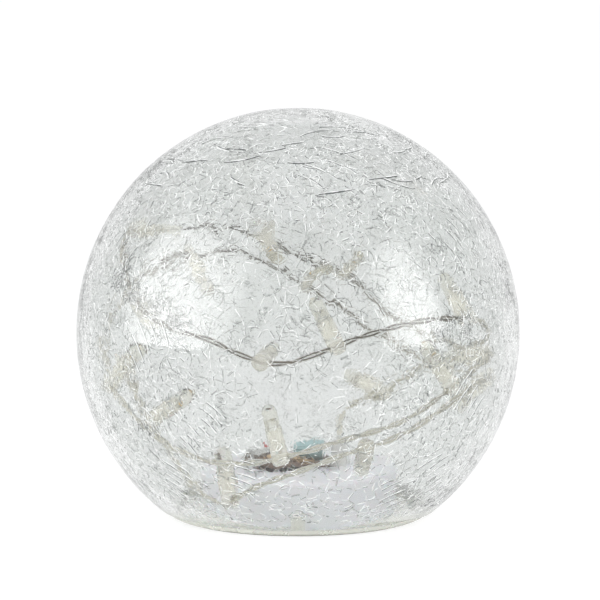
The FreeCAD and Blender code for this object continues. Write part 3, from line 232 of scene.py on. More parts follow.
class Finish:
    """A material under way: its tree, its surface shader and the object's coordinates."""

    def __init__(self, name, colour, roughness, **sockets):
        self.material = bpy.data.materials.new(name)
        self.material.use_nodes = True
        self.tree = self.material.node_tree
        self.surface = self.tree.nodes["Principled BSDF"]
        self.place = self.node("TexCoord").outputs["Object"]
        self.surface.inputs["Base Color"].default_value = (*colour, 1)
        self.surface.inputs["Roughness"].default_value = roughness
        for socket, value in sockets.items():
            self.surface.inputs[socket.replace("_", " ")].default_value = value

    def node(self, kind, inputs=None, **settings):
        return new_node(self.tree, kind, inputs, **settings)

    def link(self, output, node, socket):
        self.tree.links.new(output, node.inputs[socket])

    def noise(self, scale, detail=3.0, warp=0.0, place=None):
        return self.node("TexNoise", {"Scale": scale, "Detail": detail, "Distortion": warp,
                                      "Vector": place or self.place}).outputs["Fac"]

    def cells(self, scale, feature):
        return self.node("TexVoronoi", {"Scale": scale, "Vector": self.place},
                         feature=feature).outputs["Distance"]

    def stretched(self, scale):
        return self.node("Mapping", {"Scale": scale, "Vector": self.place}).outputs["Vector"]

    def ramp(self, value, *stops):
        node = self.node("ValToRGB", {"Fac": value})
        while len(node.color_ramp.elements) < len(stops):
            node.color_ramp.elements.new(0.5)
        for element, (position, colour) in zip(node.color_ramp.elements, stops):
            element.position = position
            element.color = (*colour, 1)
        return node.outputs["Color"]

    def spread(self, value, low, high, start=0.3, end=0.7):
        return self.node("MapRange", {"Value": value, "From Min": start, "From Max": end,
                                      "To Min": low, "To Max": high}).outputs["Result"]

    def along(self, axis):
        """How far along X, Y or Z a point of the surface lies."""
        return self.node("SeparateXYZ", {0: self.place}).outputs[axis]

    def mixed(self, share, colour, other):
        """A colour that turns to another, plain one where the share is 1."""
        return self.node("Mix", {"Factor": share, "A": colour, "B": (*other, 1)},
                         data_type="RGBA").outputs["Result"]

    def math(self, operation, one, other=0.0):
        return reckon(self.tree, operation, one, other)

    def bump(self, height, strength, distance, under=None):
        inputs = {"Height": height, "Strength": strength, "Distance": distance}
        if under is not None:
            inputs["Normal"] = under
        return self.node("Bump", inputs).outputs["Normal"]

    def let_light_in(self, colour=(1, 1, 1)):
        """Rays from lamps and soft light pass straight, so that what lies behind the surface is lit."""
        path = self.node("LightPath").outputs
        passing = self.math("MAXIMUM", path["Is Shadow Ray"], path["Is Diffuse Ray"])
        clear = self.node("BsdfTransparent", {"Color": (*colour, 1)})
        mix = self.node("MixShader", {0: passing, 1: self.surface.outputs[0], 2: clear.outputs[0]})
        self.link(mix.outputs[0], self.tree.nodes["Material Output"], "Surface")

    def facets(self, *layers):
        """The surface's normal, leaned another way in each cell of each layer: (scale, lean)."""
        normal = self.node("NewGeometry").outputs["Normal"]
        for scale, lean in layers:
            cell = self.node("TexVoronoi", {"Scale": scale, "Vector": self.place}).outputs["Color"]
            lift = self.node("VectorMath", {0: cell, 1: (lean,) * 3, 2: normal}, operation="MULTIPLY_ADD")
            level = self.node("VectorMath", {0: lift.outputs[0], 1: (lean / 2,) * 3}, operation="SUBTRACT")
            normal = level.outputs[0]
        return self.node("VectorMath", {0: normal}, operation="NORMALIZE").outputs[0]

    def set(self, **outputs):
        for socket, output in outputs.items():
            self.link(output, self.surface, socket.replace("_", " "))
        return self.material


GLASS_IOR = 1.46


def outer_glass():
    """The smooth outer skin, a little grey, with faint waves and grooves where the cracks come up."""
    f = Finish("outer_glass", (0.865, 0.877, 0.872), 0.012, IOR=GLASS_IOR, Transmission_Weight=1.0)
    f.let_light_in()
    groove = f.spread(f.cells(330, "DISTANCE_TO_EDGE"), 0.0, 1.0, 0.0, 0.08)
    waves = f.bump(f.noise(40, 2.0), 0.12, 0.0015)
    return f.set(Roughness=f.spread(f.noise(25), 0.008, 0.03), Normal=f.bump(groove, 0.10, 0.00008, waves))


def inner_glass():
    """The inner skin: broken into small facets that lean all ways, and a little grey."""
    f = Finish("inner_glass", (0.76, 0.78, 0.77), 0.08, IOR=GLASS_IOR, Transmission_Weight=1.0)
    f.let_light_in((0.97, 0.97, 0.97))
    tone = f.ramp(f.noise(28, 3.0), (0.35, (0.784, 0.802, 0.789)), (0.65, (0.83, 0.837, 0.835)))
    return f.set(Base_Color=tone, Roughness=f.spread(f.noise(90), 0.035, 0.065),
                 Normal=f.facets((310, 0.024), (110, 0.010)))


def ground_rim():
    """The ground edge that the globe stands on: matt and faintly green."""
    f = Finish("ground_rim", (0.74, 0.76, 0.69), 0.45, IOR=GLASS_IOR, Transmission_Weight=1.0)
    f.let_light_in((0.87, 0.88, 0.84))
    grain = f.noise(1800, 3.0)
    return f.set(Roughness=f.spread(grain, 0.3, 0.6), Normal=f.bump(grain, 0.3, 0.0001))


def fissure_face():
    """White faces standing for cracks that mirror the light, down to near black ones: painted glints and
    painted shade, by each crack's glint value.
    """
    f = Finish("fissure_face", (0.9, 0.9, 0.9), 0.3)
    f.let_light_in((0.93, 0.93, 0.93))
    glint = f.node("Attribute", attribute_name="glint").outputs["Fac"]
    colour = f.ramp(glint, (0.0, (0.06, 0.07, 0.065)), (0.35, (0.26, 0.275, 0.26)),
                    (0.50, (0.46, 0.475, 0.46)), (0.56, (0.92, 0.93, 0.92)), (1.0, (1.0, 1.0, 1.0)))
    return f.set(Base_Color=colour, Roughness=f.spread(f.noise(900), 0.2, 0.5))


def moulded(name, shade, darker, roughness, grain=2500, strength=0.12, **sockets):
    """Plain moulded plastic or rubber: a cloudy shade, a fine grain and worn, smoother patches."""
    f = Finish(name, shade, roughness, **sockets)
    cloud = f.noise(70, 4.0)
    colour = f.ramp(cloud, (0.35, darker), (0.65, shade))
    wear = f.spread(f.noise(260, 5.0), roughness * 0.75, min(1.0, roughness * 1.25))
    return f.set(Base_Color=colour, Roughness=wear, Normal=f.bump(f.noise(grain, 2.0), strength, 0.0001))


def metal(name, shade, darker, roughness, stretch=(1, 1, 1)):
    """Bright plated metal with fine drawn marks and dull spots."""
    f = Finish(name, shade, roughness, Metallic=1.0)
    marks = f.noise(900, 4.0, place=f.stretched(stretch))
    colour = f.ramp(f.noise(300, 3.0), (0.35, darker), (0.6, shade))
    return f.set(Base_Color=colour, Roughness=f.spread(marks, roughness * 0.6, roughness * 1.5),
                 Normal=f.bump(marks, 0.1, 0.00005))


def clear_moulding(name, tint, roughness, scale=300, clear=1.0, **sockets):
    """Clear moulded plastic: tinted, with flow marks and a slightly frosted skin."""
    f = Finish(name, tint, roughness, Transmission_Weight=clear, **sockets)
    f.let_light_in(tuple(0.5 + part / 2 for part in tint))
    flow = f.noise(scale, 3.0, 0.6)
    return f.set(Roughness=f.spread(flow, roughness * 0.5, roughness * 1.8),
                 Normal=f.bump(flow, 0.12, 0.0003))


def dress(material, *names):
    for name in names:
        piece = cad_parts[name]
        piece.data.materials.clear()
        piece.data.materials.append(material)


# Helpers for modelling by hand

def deselect():
    if bpy.context.object and bpy.context.object.mode == "EDIT":
        bpy.ops.object.mode_set(mode="OBJECT")
    bpy.ops.object.select_all(action="DESELECT")


def active(piece):
    deselect()
    piece.select_set(True)
    bpy.context.view_layer.objects.active = piece


@contextmanager
def editing(choice=None):
    """Edit mode on the active piece. The choice is SELECT for all of it, DESELECT for nothing."""
    bpy.ops.object.mode_set(mode="EDIT")
    if choice:
        bpy.ops.mesh.select_all(action=choice)
    yield
    bpy.ops.object.mode_set(mode="OBJECT")


def apply_place():
    """Put the active piece's place, turn and size into its mesh."""
    bpy.ops.object.transform_apply(location=True, rotation=True, scale=True)
    return bpy.context.object


def settle(piece, name):
    """Name the piece and put its place into its mesh."""
    active(piece)
    apply_place()
    piece.name = name
    piece.data.name = name
    return piece


def join(name, parts):
    deselect()
    for part in parts:
        part.select_set(True)
    bpy.context.view_layer.objects.active = parts[0]
    bpy.ops.object.join()
    return settle(parts[0], name)


def add(piece, body, material):
    if material:
        piece.data.materials.clear()
        piece.data.materials.append(material)
    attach(piece, body)
    return piece


def mesh_piece(name, points, faces):
    mesh = bpy.data.meshes.new(name)
    mesh.from_pydata(points, [], faces)
    mesh.update()
    piece = bpy.data.objects.new(name, mesh)
    bpy.context.scene.collection.objects.link(piece)
    return piece


# Globe

GLOBE_SEGMENTS = 240
GLOBE_RINGS = 120
SWELL_WIDTH = 0.016
SWELL_HEIGHT = 0.0004


def open_skin(radius, half_height):
    """An ellipsoid about the globe's middle, cut off level at the rim."""
    deselect()
    bpy.ops.mesh.primitive_uv_sphere_add(segments=GLOBE_SEGMENTS, ring_count=GLOBE_RINGS, radius=1,
                                         location=(0, 0, GLOBE_MIDDLE), scale=(radius, radius, half_height))
    skin = apply_place()
    with editing("SELECT"):
        bpy.ops.mesh.bisect(plane_co=(0, 0, RIM_LEVEL), plane_no=(0, 0, 1), clear_inner=True)
    return skin


def make_globe():
    outer = open_skin(GLOBE_RADIUS, GLOBE_HALF_HEIGHT)
    outer.data.materials.append(outer_glass())
    inner = open_skin(GLOBE_RADIUS - GLOBE_WALL, GLOBE_HALF_HEIGHT - GLOBE_WALL)
    inner.data.materials.append(inner_glass())
    active(inner)
    with editing("SELECT"):
        bpy.ops.mesh.flip_normals()
    globe = join("crackle_globe", [outer, inner])
    with editing("DESELECT"):
        bpy.ops.mesh.select_mode(type="EDGE")
        bpy.ops.mesh.select_non_manifold()
        bpy.ops.mesh.bridge_edge_loops()
    globe.data.materials.append(ground_rim())
    corners = globe.data.vertices
    for polygon in globe.data.polygons:
        if all(abs(corners[index].co.z - RIM_LEVEL) < LEVEL_TOLERANCE for index in polygon.vertices):
            polygon.material_index = 2
    swell = bpy.data.textures.new("glass_swell", "CLOUDS")
    swell.noise_scale = SWELL_WIDTH
    ripple = globe.modifiers.new("Swell", "DISPLACE")
    ripple.texture = swell
    ripple.texture_coords = "LOCAL"
    ripple.strength = SWELL_HEIGHT
    bpy.ops.object.modifier_apply(modifier=ripple.name)
    bpy.ops.object.shade_smooth_by_angle(angle=math.radians(40))
    add(globe, "lamp", None)
    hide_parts("glass_globe")


def seen_at(x, y):
    """The direction from the globe's middle of what the photograph shows at a pixel of its near side."""
    across = (x - PHOTO_MIDDLE[0]) / PHOTO_HALF_SIZE[0]
    up = (PHOTO_MIDDLE[1] - y) / PHOTO_HALF_SIZE[1]
    near = math.sqrt(max(0.0, 1 - across ** 2 - up ** 2))
    rise = math.sin(CAMERA_RISE)
    level = math.cos(CAMERA_RISE)
    return Vector((across, up * rise - near * level, up * level + near * rise)).normalized()


# The cracks. Lengths and sizes in a pair are the least and the most.
CRACK_SEED = 23
CELL_COUNT = 15000
BORDER_LENGTHS = (0.0003, 0.006)     # cell borders outside these are left out
BORDER_SHARE = 0.78                  # of the borders that are cracks, more in some patches
BORDER_CLEAR_SHARE = 0.45            # of the borders that stay in the clear parts
BORDER_TRIM = (0.05, 0.30)           # the share of a border that is cut off at each end
BORDER_DEPTHS = (0.0006, 0.0026)     # below the outer skin
# Crack tones of painted light: low values give dark painted shade, high ones a white painted glint.
BORDER_PAINTED_LIGHT = (0.22, 1.0)
BORDER_PAINTED_SHADE_SHARE = 0.24                 # the share with a dark second sliver beside it: painted shade
CRACK_COUNT = 8000
CRACK_SHARE = 0.72
CRACK_STEPS = 3
CRACK_HALF_LENGTHS = (0.0005, 0.0018)
CRACK_BEND = 0.6
CRACK_DEPTHS = (0.0006, 0.0022)
CRACK_PAINTED_LIGHT = (0.3, 1.0)
CRACK_PAINTED_SHADE_SHARE = 0.36
# Where the loose cracks begin to line up, measured up from the middle with the globe's radius as 1,
# how far on they are lined up in full, how many are, and how far they stray.
LOW_FLOW = (-0.1, 0.35, 0.85, 0.25)
TOP_FLOW = (0.75, 0.15, 0.6, 0.3)
PATCHES = (0.3, 0.5)                 # how much the patches change the share of borders and of cracks
PAINTED_SHADE_GAP = 0.00034                    # from a crack's bright sliver to its sliver of painted shade
PAINTED_SHADE_TONE = (0.06, 0.33)
PAINTED_SHADE_SIDE = (1, 0, -1)                 # the side of a crack that its painted shade lies on: right and down, away from the light from the upper left
TAPER = 0.75                         # a sliver's size at its far end
LEAN = 25                            # degrees that a sliver may lean from straight outwards
SLIVER_CORNERS = 6
RIM_CLEAR = 0.0022                   # no crack nearer to the rim
SECTORS = 3                          # pieces that share the borders and short cracks
SLIVERS = {                          # height and thickness
    "fissures": ((0.00022, 0.00036), (0.00016, 0.00026)),
    "fissure_lips": ((0.0002, 0.0004), (0.00010, 0.00020)),
    "fan": ((0.00025, 0.00045), (0.00016, 0.00026)),
    "long": ((0.0004, 0.0009), (0.00028, 0.00055)),
    "hairline_fissures": ((0.0002, 0.0004), (0.00014, 0.00024))}
LONG_DEPTH = 0.0010
# Tones of painted light for the long cracks: white painted glints, and painted shade for their dark second
# slivers.
LONG_PAINTED_LIGHT = {"fissures": (0.56, 1.0), "fissure_lips": (0.0, 0.22)}
HAIRLINE_DEPTH = 0.0012
HAIRLINE_LENGTHS = (0.0015, 0.0065)
HAIRLINE_BEND = 0.35
HAIRLINE_PAINTED_LIGHT = (0.2, 0.42)
WIDE_CELLS = [   # pixel of the middle, reach, share of the cells left out
    (300, 128, 0.20, 0.80), (305, 345, 0.50, 0.55), (190, 300, 0.34, 0.60), (405, 292, 0.28, 0.50),
    (222, 482, 0.18, 0.45), (372, 476, 0.20, 0.45), (300, 497, 0.30, 0.35), (290, 240, 0.20, 0.45),
    (290, 425, 0.30, 0.60)]
WIDE_EDGE = (0.6, 1.1)               # the share of the reach where such a part may end
FANS = [   # pixel of the middle, heading, length, how many, spacing, and how far they fan out, in degrees
    (205, 425, -48, 0.0075, 7, 0.0030, 12), (152, 345, -60, 0.0100, 5, 0.0042, -14),
    (388, 492, 28, 0.0080, 7, 0.0026, 10), (432, 470, 35, 0.0090, 8, 0.0030, -8),
    (245, 470, -20, 0.0060, 5, 0.0028, 10), (330, 175, -35, 0.0120, 4, 0.0060, 20),
    (455, 235, -58, 0.0110, 5, 0.0050, 12), (125, 250, 62, 0.0100, 5, 0.0040, -10),
    (180, 480, -42, 0.0090, 8, 0.0026, 8), (470, 405, 52, 0.0100, 8, 0.0034, -10)]
FAN_STRETCH = (0.6, 1.2)
FAN_SHIFT = 0.3
FAN_BEND = 0.05
TOP_CRACKS = 84                      # long level cracks in a belt about the top
TOP_BELT = (15, 46)                  # degrees from the top
TOP_LENGTHS = (0.004, 0.013)
TOP_SHIFT = 0.4
TOP_SLANT = 28
TOP_BEND = 0.15
CLOUDS = [   # pixel of the middle, reach, how many short cracks crowd together there
    (124, 280, 0.06, 120), (142, 296, 0.07, 150), (162, 311, 0.07, 150), (184, 324, 0.06, 120),
    (436, 331, 0.06, 90), (462, 327, 0.06, 100), (150, 420, 0.10, 100)]
HAIRLINES = [(180, 300, 0.32, 210), (402, 292, 0.20, 90), (305, 330, 0.30, 60)]   # as the clouds


def scattered(count, random):
    spots = random.normal(size=(count, 3))
    return spots / np.linalg.norm(spots, axis=1)[:, None]


def patches(spots, random, waves=14, reach=22):
    """A smooth field from about -1 to 1 over the globe, for patches with more cracks and with fewer."""
    ways = random.normal(size=(waves, 3)) * reach
    shifts = random.uniform(0, 2 * math.pi, waves)
    return np.cos(spots @ ways.T + shifts).sum(1) / math.sqrt(waves)


def left_clear(spots, random):
    """True for the spots that stay where the photograph shows the glass clear."""
    keep = np.ones(len(spots), bool)
    for x, y, reach, share in WIDE_CELLS:
        away = np.linalg.norm(spots - np.array(seen_at(x, y)), axis=1)
        near = away < reach * random.uniform(*WIDE_EDGE, len(spots))
        keep &= ~(near & (random.random(len(spots)) < share))
    return keep


def cell_borders(random):
    """Pairs of directions: the borders of cells scattered over the globe, larger where it is clear."""
    spots = scattered(CELL_COUNT, random)
    scatter = bmesh.new()
    for spot in spots[left_clear(spots, random)]:
        scatter.verts.new(spot)
    bmesh.ops.convex_hull(scatter, input=scatter.verts)
    scatter.normal_update()
    pairs = [[face.normal[:] for face in edge.link_faces]
             for edge in scatter.edges if len(edge.link_faces) == 2]
    scatter.free()
    return np.array(pairs)


def flow(spots, random):
    """The way of each loose crack: round the outline low down, level at the top, and any way elsewhere."""
    loose = np.cross(spots, scattered(len(spots), random))
    loose /= np.linalg.norm(loose, axis=1)[:, None]
    around = np.cross((0, 1, 0), spots)
    level = np.cross((0, 0, 1), spots)
    start, reach, share, stray = LOW_FLOW
    sideways = np.clip(np.linalg.norm(around, axis=1) * 1.5, 0, 1)
    low = np.clip(start - spots[:, 2], 0, reach) / reach * sideways
    pick = random.random(len(spots))
    ways = np.where((pick < share * low)[:, None], around + stray * loose, loose)
    start, reach, share, stray = TOP_FLOW
    high = np.clip(spots[:, 2] - start, 0, reach) / reach * share
    ways = np.where((pick > 1 - high)[:, None], level + stray * loose, ways)
    return ways / np.linalg.norm(ways, axis=1)[:, None]


def loose_cracks(random):
    """Pairs of directions along short curved cracks, each in a few steps."""
    spots = scattered(CRACK_COUNT, random)
    stays = left_clear(spots, random)
    stays &= random.random(len(spots)) < CRACK_SHARE + PATCHES[1] * patches(spots, random)
    crowds = [np.array(seen_at(x, y)) + random.normal(size=(number, 3)) * reach * 0.5
              for x, y, reach, number in CLOUDS]
    spots = np.concatenate([spots[stays], *crowds])
    spots /= np.linalg.norm(spots, axis=1)[:, None]
    along = flow(spots, random)
    across = np.cross(spots, along)
    half = random.uniform(*CRACK_HALF_LENGTHS, len(spots))[:, None] / GLOBE_RADIUS
    bend = random.uniform(-CRACK_BEND, CRACK_BEND, len(spots))[:, None]
    marks = [spots + half * (share * along + bend * share * share * across)
             for share in np.linspace(-1, 1, CRACK_STEPS + 1)]
    marks = [mark / np.linalg.norm(mark, axis=1)[:, None] for mark in marks]
    return np.concatenate([np.stack(pair, 1) for pair in zip(marks, marks[1:])]), len(spots)


def bent_line(middle, along, across, reach, bend, steps=5):
    """Pairs of directions along one crack that bows to a side."""
    marks = []
    for step in range(steps + 1):
        share = step / steps - 0.5
        bow = across * bend * reach * math.cos(math.pi * share)
        marks.append((middle + along * reach * share + bow).normalized()[:])
    return [[near, far] for near, far in zip(marks, marks[1:])]


def fan_lines(random):
    """Pairs of directions along the long cracks that lie side by side."""
    pairs = []
    for x, y, heading, length, count, spacing, fan in FANS:
        middle = seen_at(x, y)
        right = middle.cross((0, 0, 1)).normalized() * -1
        up = middle.cross(right)
        for number in range(count):
            turn = math.radians(heading + fan * (number / count - 0.5))
            along = right * math.cos(turn) + up * math.sin(turn)
            across = up * math.cos(turn) - right * math.sin(turn)
            start = middle + across * (number - (count - 1) / 2) * spacing / GLOBE_RADIUS
            reach = length * random.uniform(*FAN_STRETCH) / GLOBE_RADIUS
            place = start + along * reach * random.uniform(-FAN_SHIFT, FAN_SHIFT)
            pairs += bent_line(place, along, across, reach, FAN_BEND)
    return np.array(pairs)


def top_lines(random):
    """Pairs of directions along the long level cracks about the top."""
    pairs = []
    for number in range(TOP_CRACKS):
        away = math.radians(random.uniform(*TOP_BELT))
        turn = 2 * math.pi * (number + random.uniform(-TOP_SHIFT, TOP_SHIFT)) / TOP_CRACKS
        middle = Vector((math.sin(away) * math.cos(turn), math.sin(away) * math.sin(turn), math.cos(away)))
        level = Vector((0, 0, 1)).cross(middle).normalized()
        slant = math.radians(random.uniform(-TOP_SLANT, TOP_SLANT))
        along = level * math.cos(slant) + middle.cross(level) * math.sin(slant)
        reach = random.uniform(*TOP_LENGTHS) / GLOBE_RADIUS
        pairs += bent_line(middle, along, middle.cross(along), reach, random.uniform(-TOP_BEND, TOP_BEND))
    return np.array(pairs)


def hair_lines(random):
    """Pairs of directions along the fine single lines that cross the clear parts."""
    pairs = []
    for x, y, reach, count in HAIRLINES:
        for _ in range(count):
            middle = (seen_at(x, y) + Vector(random.normal(size=3)) * reach * 0.5).normalized()
            along = middle.cross(Vector(random.normal(size=3))).normalized()
            length = random.uniform(*HAIRLINE_LENGTHS) / GLOBE_RADIUS
            bend = random.uniform(-HAIRLINE_BEND, HAIRLINE_BEND)
            pairs += bent_line(middle, along, middle.cross(along), length, bend)
    return np.array(pairs)


def blades(name, kind, pairs, depth, glint, random, aside=0.0):
    """One piece of thin three-sided slivers of air in the wall, one to each pair of directions."""
    height, thickness = SLIVERS[kind]
    sizes = np.array([GLOBE_RADIUS, GLOBE_RADIUS, GLOBE_HALF_HEIGHT])
    middle = np.array([0, 0, GLOBE_MIDDLE])
    count = len(pairs)
    heights = random.uniform(*height, count)[:, None]
    outwards = pairs.sum(1) / sizes
    outwards /= np.linalg.norm(outwards, axis=1)[:, None]
    ends = pairs * sizes + middle - (outwards * depth[:, None])[:, None, :]
    along = ends[:, 1] - ends[:, 0]
    along /= np.linalg.norm(along, axis=1)[:, None]
    side = np.cross(along, outwards)
    side *= np.where(side @ np.array(PAINTED_SHADE_SIDE) < 0, -1, 1)[:, None]
    turn = np.radians(random.uniform(-LEAN, LEAN, count))[:, None]
    up = outwards * np.cos(turn) + side * np.sin(turn)
    thin = np.cross(along, up)
    thin *= random.uniform(*thickness, count)[:, None]
    corners = []
    for end, size in ((0, 1.0), (1, TAPER)):
        place = ends[:, end] + side * aside
        corners += [place + tall * size * up * heights + wide * size * thin
                    for tall, wide in ((0.5, 0.0), (-0.5, -0.5), (-0.5, 0.5))]
    points = np.stack(corners, 1)
    first = np.arange(count)[:, None, None] * SLIVER_CORNERS
    sheets = np.array([[0, 1, 2], [3, 5, 4], [0, 3, 4], [0, 4, 1], [1, 4, 5], [1, 5, 2], [2, 5, 3],
                       [2, 3, 0]])
    piece = mesh_piece(name, points.reshape(-1, 3).tolist(), (sheets[None] + first).reshape(-1, 3).tolist())
    # Each sliver's tone of painted light: painted shade when low, a painted glint when high.
    layer = piece.data.attributes.new("glint", "FLOAT", "POINT")
    layer.data.foreach_set("value", np.repeat(glint, SLIVER_CORNERS).astype(np.float32))
    return piece


def border_cracks(random):
    """Pairs of directions along the cell borders that are cracks, each trimmed at both ends."""
    pairs = cell_borders(random)
    length = np.linalg.norm(pairs[:, 0] - pairs[:, 1], axis=1) * GLOBE_RADIUS
    keep = (length > BORDER_LENGTHS[0]) & (length < BORDER_LENGTHS[1])
    keep &= random.random(len(pairs)) < BORDER_SHARE + PATCHES[0] * patches(pairs.mean(1), random)
    keep &= left_clear(pairs.mean(1), random) | (random.random(len(pairs)) < BORDER_CLEAR_SHARE)
    near, far = pairs[keep][:, 0], pairs[keep][:, 1]
    trim = random.uniform(*BORDER_TRIM, (len(near), 2, 1))
    return np.stack([near * (1 - trim[:, 0]) + far * trim[:, 0],
                     far * (1 - trim[:, 1]) + near * trim[:, 1]], 1)


def make_fissures():
    """All the cracks as pieces that ride on the lamp, and the collection that holds them."""
    random = np.random.default_rng(CRACK_SEED)
    face = fissure_face()
    pieces = []
    borders = border_cracks(random)
    loose, count = loose_cracks(random)

    def drawn(of_borders, of_cracks):
        """One number in the first range for each border, and one in the second for each loose crack."""
        ends = random.uniform(*of_borders, len(borders))
        return np.concatenate([ends, np.tile(random.uniform(*of_cracks, count), CRACK_STEPS)])

    glint = drawn(BORDER_PAINTED_LIGHT, CRACK_PAINTED_LIGHT)
    depth = drawn(BORDER_DEPTHS, CRACK_DEPTHS)
    limit = np.repeat([BORDER_PAINTED_SHADE_SHARE, CRACK_PAINTED_SHADE_SHARE], [len(borders), len(loose)])
    painted_shaded = drawn((0, 1), (0, 1)) < limit
    pairs = np.concatenate([borders, loose])
    middles = pairs.mean(1)
    inside = middles[:, 2] * GLOBE_HALF_HEIGHT + GLOBE_MIDDLE > RIM_LEVEL + RIM_CLEAR
    sector = (np.degrees(np.arctan2(middles[:, 1], middles[:, 0])) % 360) // (360 / SECTORS)
    for number in range(SECTORS):
        here = inside & (sector == number)
        pieces.append(blades("fissures_%d" % (number + 1), "fissures", pairs[here], depth[here], glint[here],
                             random))
        # Some cracks get a dark second sliver beside them: painted shade on the side away from the light.
        here &= painted_shaded
        shade = random.uniform(*PAINTED_SHADE_TONE, here.sum())
        pieces.append(blades("fissure_lips_%d" % (number + 1), "fissure_lips", pairs[here], depth[here],
                             shade, random, PAINTED_SHADE_GAP))
    # The long cracks each get a painted glint sliver and a sliver of painted shade beside it.
    for name, lines in (("fan", fan_lines(random)), ("long", top_lines(random))):
        for part, aside in (("fissures", 0.0), ("fissure_lips", PAINTED_SHADE_GAP)):
            shade = random.uniform(*LONG_PAINTED_LIGHT[part], len(lines))
            pieces.append(blades("%s_%s" % (name, part), name, lines, np.full(len(lines), LONG_DEPTH), shade,
                                 random, aside))
    hairs = hair_lines(random)
    shade = random.uniform(*HAIRLINE_PAINTED_LIGHT, len(hairs))
    pieces.append(blades("hairline_fissures", "hairline_fissures", hairs, np.full(len(hairs), HAIRLINE_DEPTH),
                         shade, random))
    cracks = bpy.data.collections.new("Cracks")
    for piece in pieces:
        add(piece, "lamp", face)
        cracks.objects.link(piece)
    return cracks


# LED string

def wall_point(azimuth, height, inset):
    """A point of the string's middle line beside the globe's inner wall."""
    gap = GLOBE_WALL + SLEEVE_WALL_GAP + SLEEVE_RADIUS
    share = (height - GLOBE_MIDDLE) / (GLOBE_HALF_HEIGHT - gap)
    radius = (GLOBE_RADIUS - gap) * math.sqrt(1 - share * share) - inset
    turn = math.radians(azimuth)
    return Vector((radius * math.cos(turn), radius * math.sin(turn), height))


def string_route():
    return [Vector(point) for point in STRING_LEAD] + [wall_point(*row) for row in STRING_COIL]


SPLINE_STEPS = 14


def smooth_line(route):
    """Points read from one NURBS spline with the route's points as its control points."""
    curve = bpy.data.curves.new("StringRoute", "CURVE")
    curve.dimensions = "3D"
    spline = curve.splines.new("NURBS")
    spline.points.add(len(route) - 1)
    for control, point in zip(spline.points, route):
        control.co = (*point, 1)
    spline.order_u = 3
    spline.use_endpoint_u = True
    spline.resolution_u = SPLINE_STEPS
    thing = bpy.data.objects.new("StringRoute", curve)
    bpy.context.scene.collection.objects.link(thing)
    bpy.context.view_layer.update()
    mesh = bpy.data.meshes.new_from_object(thing)
    line = [vertex.co.copy() for vertex in mesh.vertices]
    bpy.data.objects.remove(thing)
    bpy.data.meshes.remove(mesh)
    return line


def frames_along(line):
    """Travelled length, direction and a steady side direction at each point of a line."""
    rows = []
    travelled = 0.0
    side = None
    for index, point in enumerate(line):
        ahead = line[min(index + 1, len(line) - 1)] - line[max(index - 1, 0)]
        way = ahead.normalized()
        if side is None:
            side = way.orthogonal()
        side = (side - way * side.dot(way)).normalized()
        if index:
            travelled += (point - line[index - 1]).length
        rows.append((travelled, way, side))
    return rows


TWIST_PITCH = 0.021
STRAND_OFFSET = STRAND_RADIUS * 1.04
WANDERS = ((0.5, 71.0, 0.0), (0.35, 163.0, 1.0))   # how unevenly the pair is twisted


def strand_points(line, rows, phase):
    points = []
    for point, (travelled, way, side) in zip(line, rows):
        wander = sum(much * math.sin(travelled * pace + start) for much, pace, start in WANDERS)
        turn = phase + 2 * math.pi * travelled / TWIST_PITCH + wander
        points.append(point + (side * math.cos(turn) + way.cross(side) * math.sin(turn)) * STRAND_OFFSET)
    return points


def tube(points, radius, sides, first=0):
    """Ring points and faces of a round tube with closed ends."""
    rows = frames_along(points)
    places = []
    faces = []
    for point, (_, way, side) in zip(points, rows):
        for number in range(sides):
            turn = 2 * math.pi * number / sides
            places.append(point + (side * math.cos(turn) + way.cross(side) * math.sin(turn)) * radius)
    for ring in range(len(points) - 1):
        for number in range(sides):
            near = first + ring * sides
            other = (number + 1) % sides
            faces.append((near + number, near + other, near + sides + other, near + sides + number))
    last = first + (len(points) - 1) * sides
    faces.append(tuple(reversed(range(first, first + sides))))
    faces.append(tuple(range(last, last + sides)))
    return places, faces


def strand_mesh(name, line, rows, radius, sides):
    """Both strands of the twisted pair, or their cores, as one piece."""
    places = []
    faces = []
    for phase in (0.0, math.pi):
        more, sheets = tube(strand_points(line, rows, phase), radius, sides, len(places))
        places += more
        faces += sheets
    piece = mesh_piece(name, places, faces)
    for polygon in piece.data.polygons:
        polygon.use_smooth = len(polygon.vertices) == 4
    return piece


def lamp_frames():
    """Where each lamp's tail holds the wire: the wire's way along X, and the lamp's own axis along Z."""
    route = string_route()
    places = []
    for run, lean in LAMPS:
        along = (route[run + 1] - route[run]).normalized()
        middle = (route[run + 1] + route[run]) / 2
        inwards = Vector((-middle.x, -middle.y, GLOBE_MIDDLE - middle.z))
        inwards = (inwards - along * inwards.dot(along)).normalized()
        upwards = along.cross(inwards)
        if upwards.z < 0:
            upwards = -upwards
        turn = math.radians(lean)
        axis = inwards * math.cos(turn) + upwards * math.sin(turn)
        turned = Matrix((along, axis.cross(along), axis)).transposed().to_4x4()
        places.append(Matrix.Translation(middle) @ turned)
    return places


def repeated(name, model, places):
    """One piece from copies of a model, each with its own mesh, at the places."""
    copies = []
    for place in places:
        copy = model.copy()
        copy.data = model.data.copy()
        bpy.context.scene.collection.objects.link(copy)
        copy.data.transform(place)
        copies.append(copy)
    bpy.data.objects.remove(model)
    return join(name, copies)


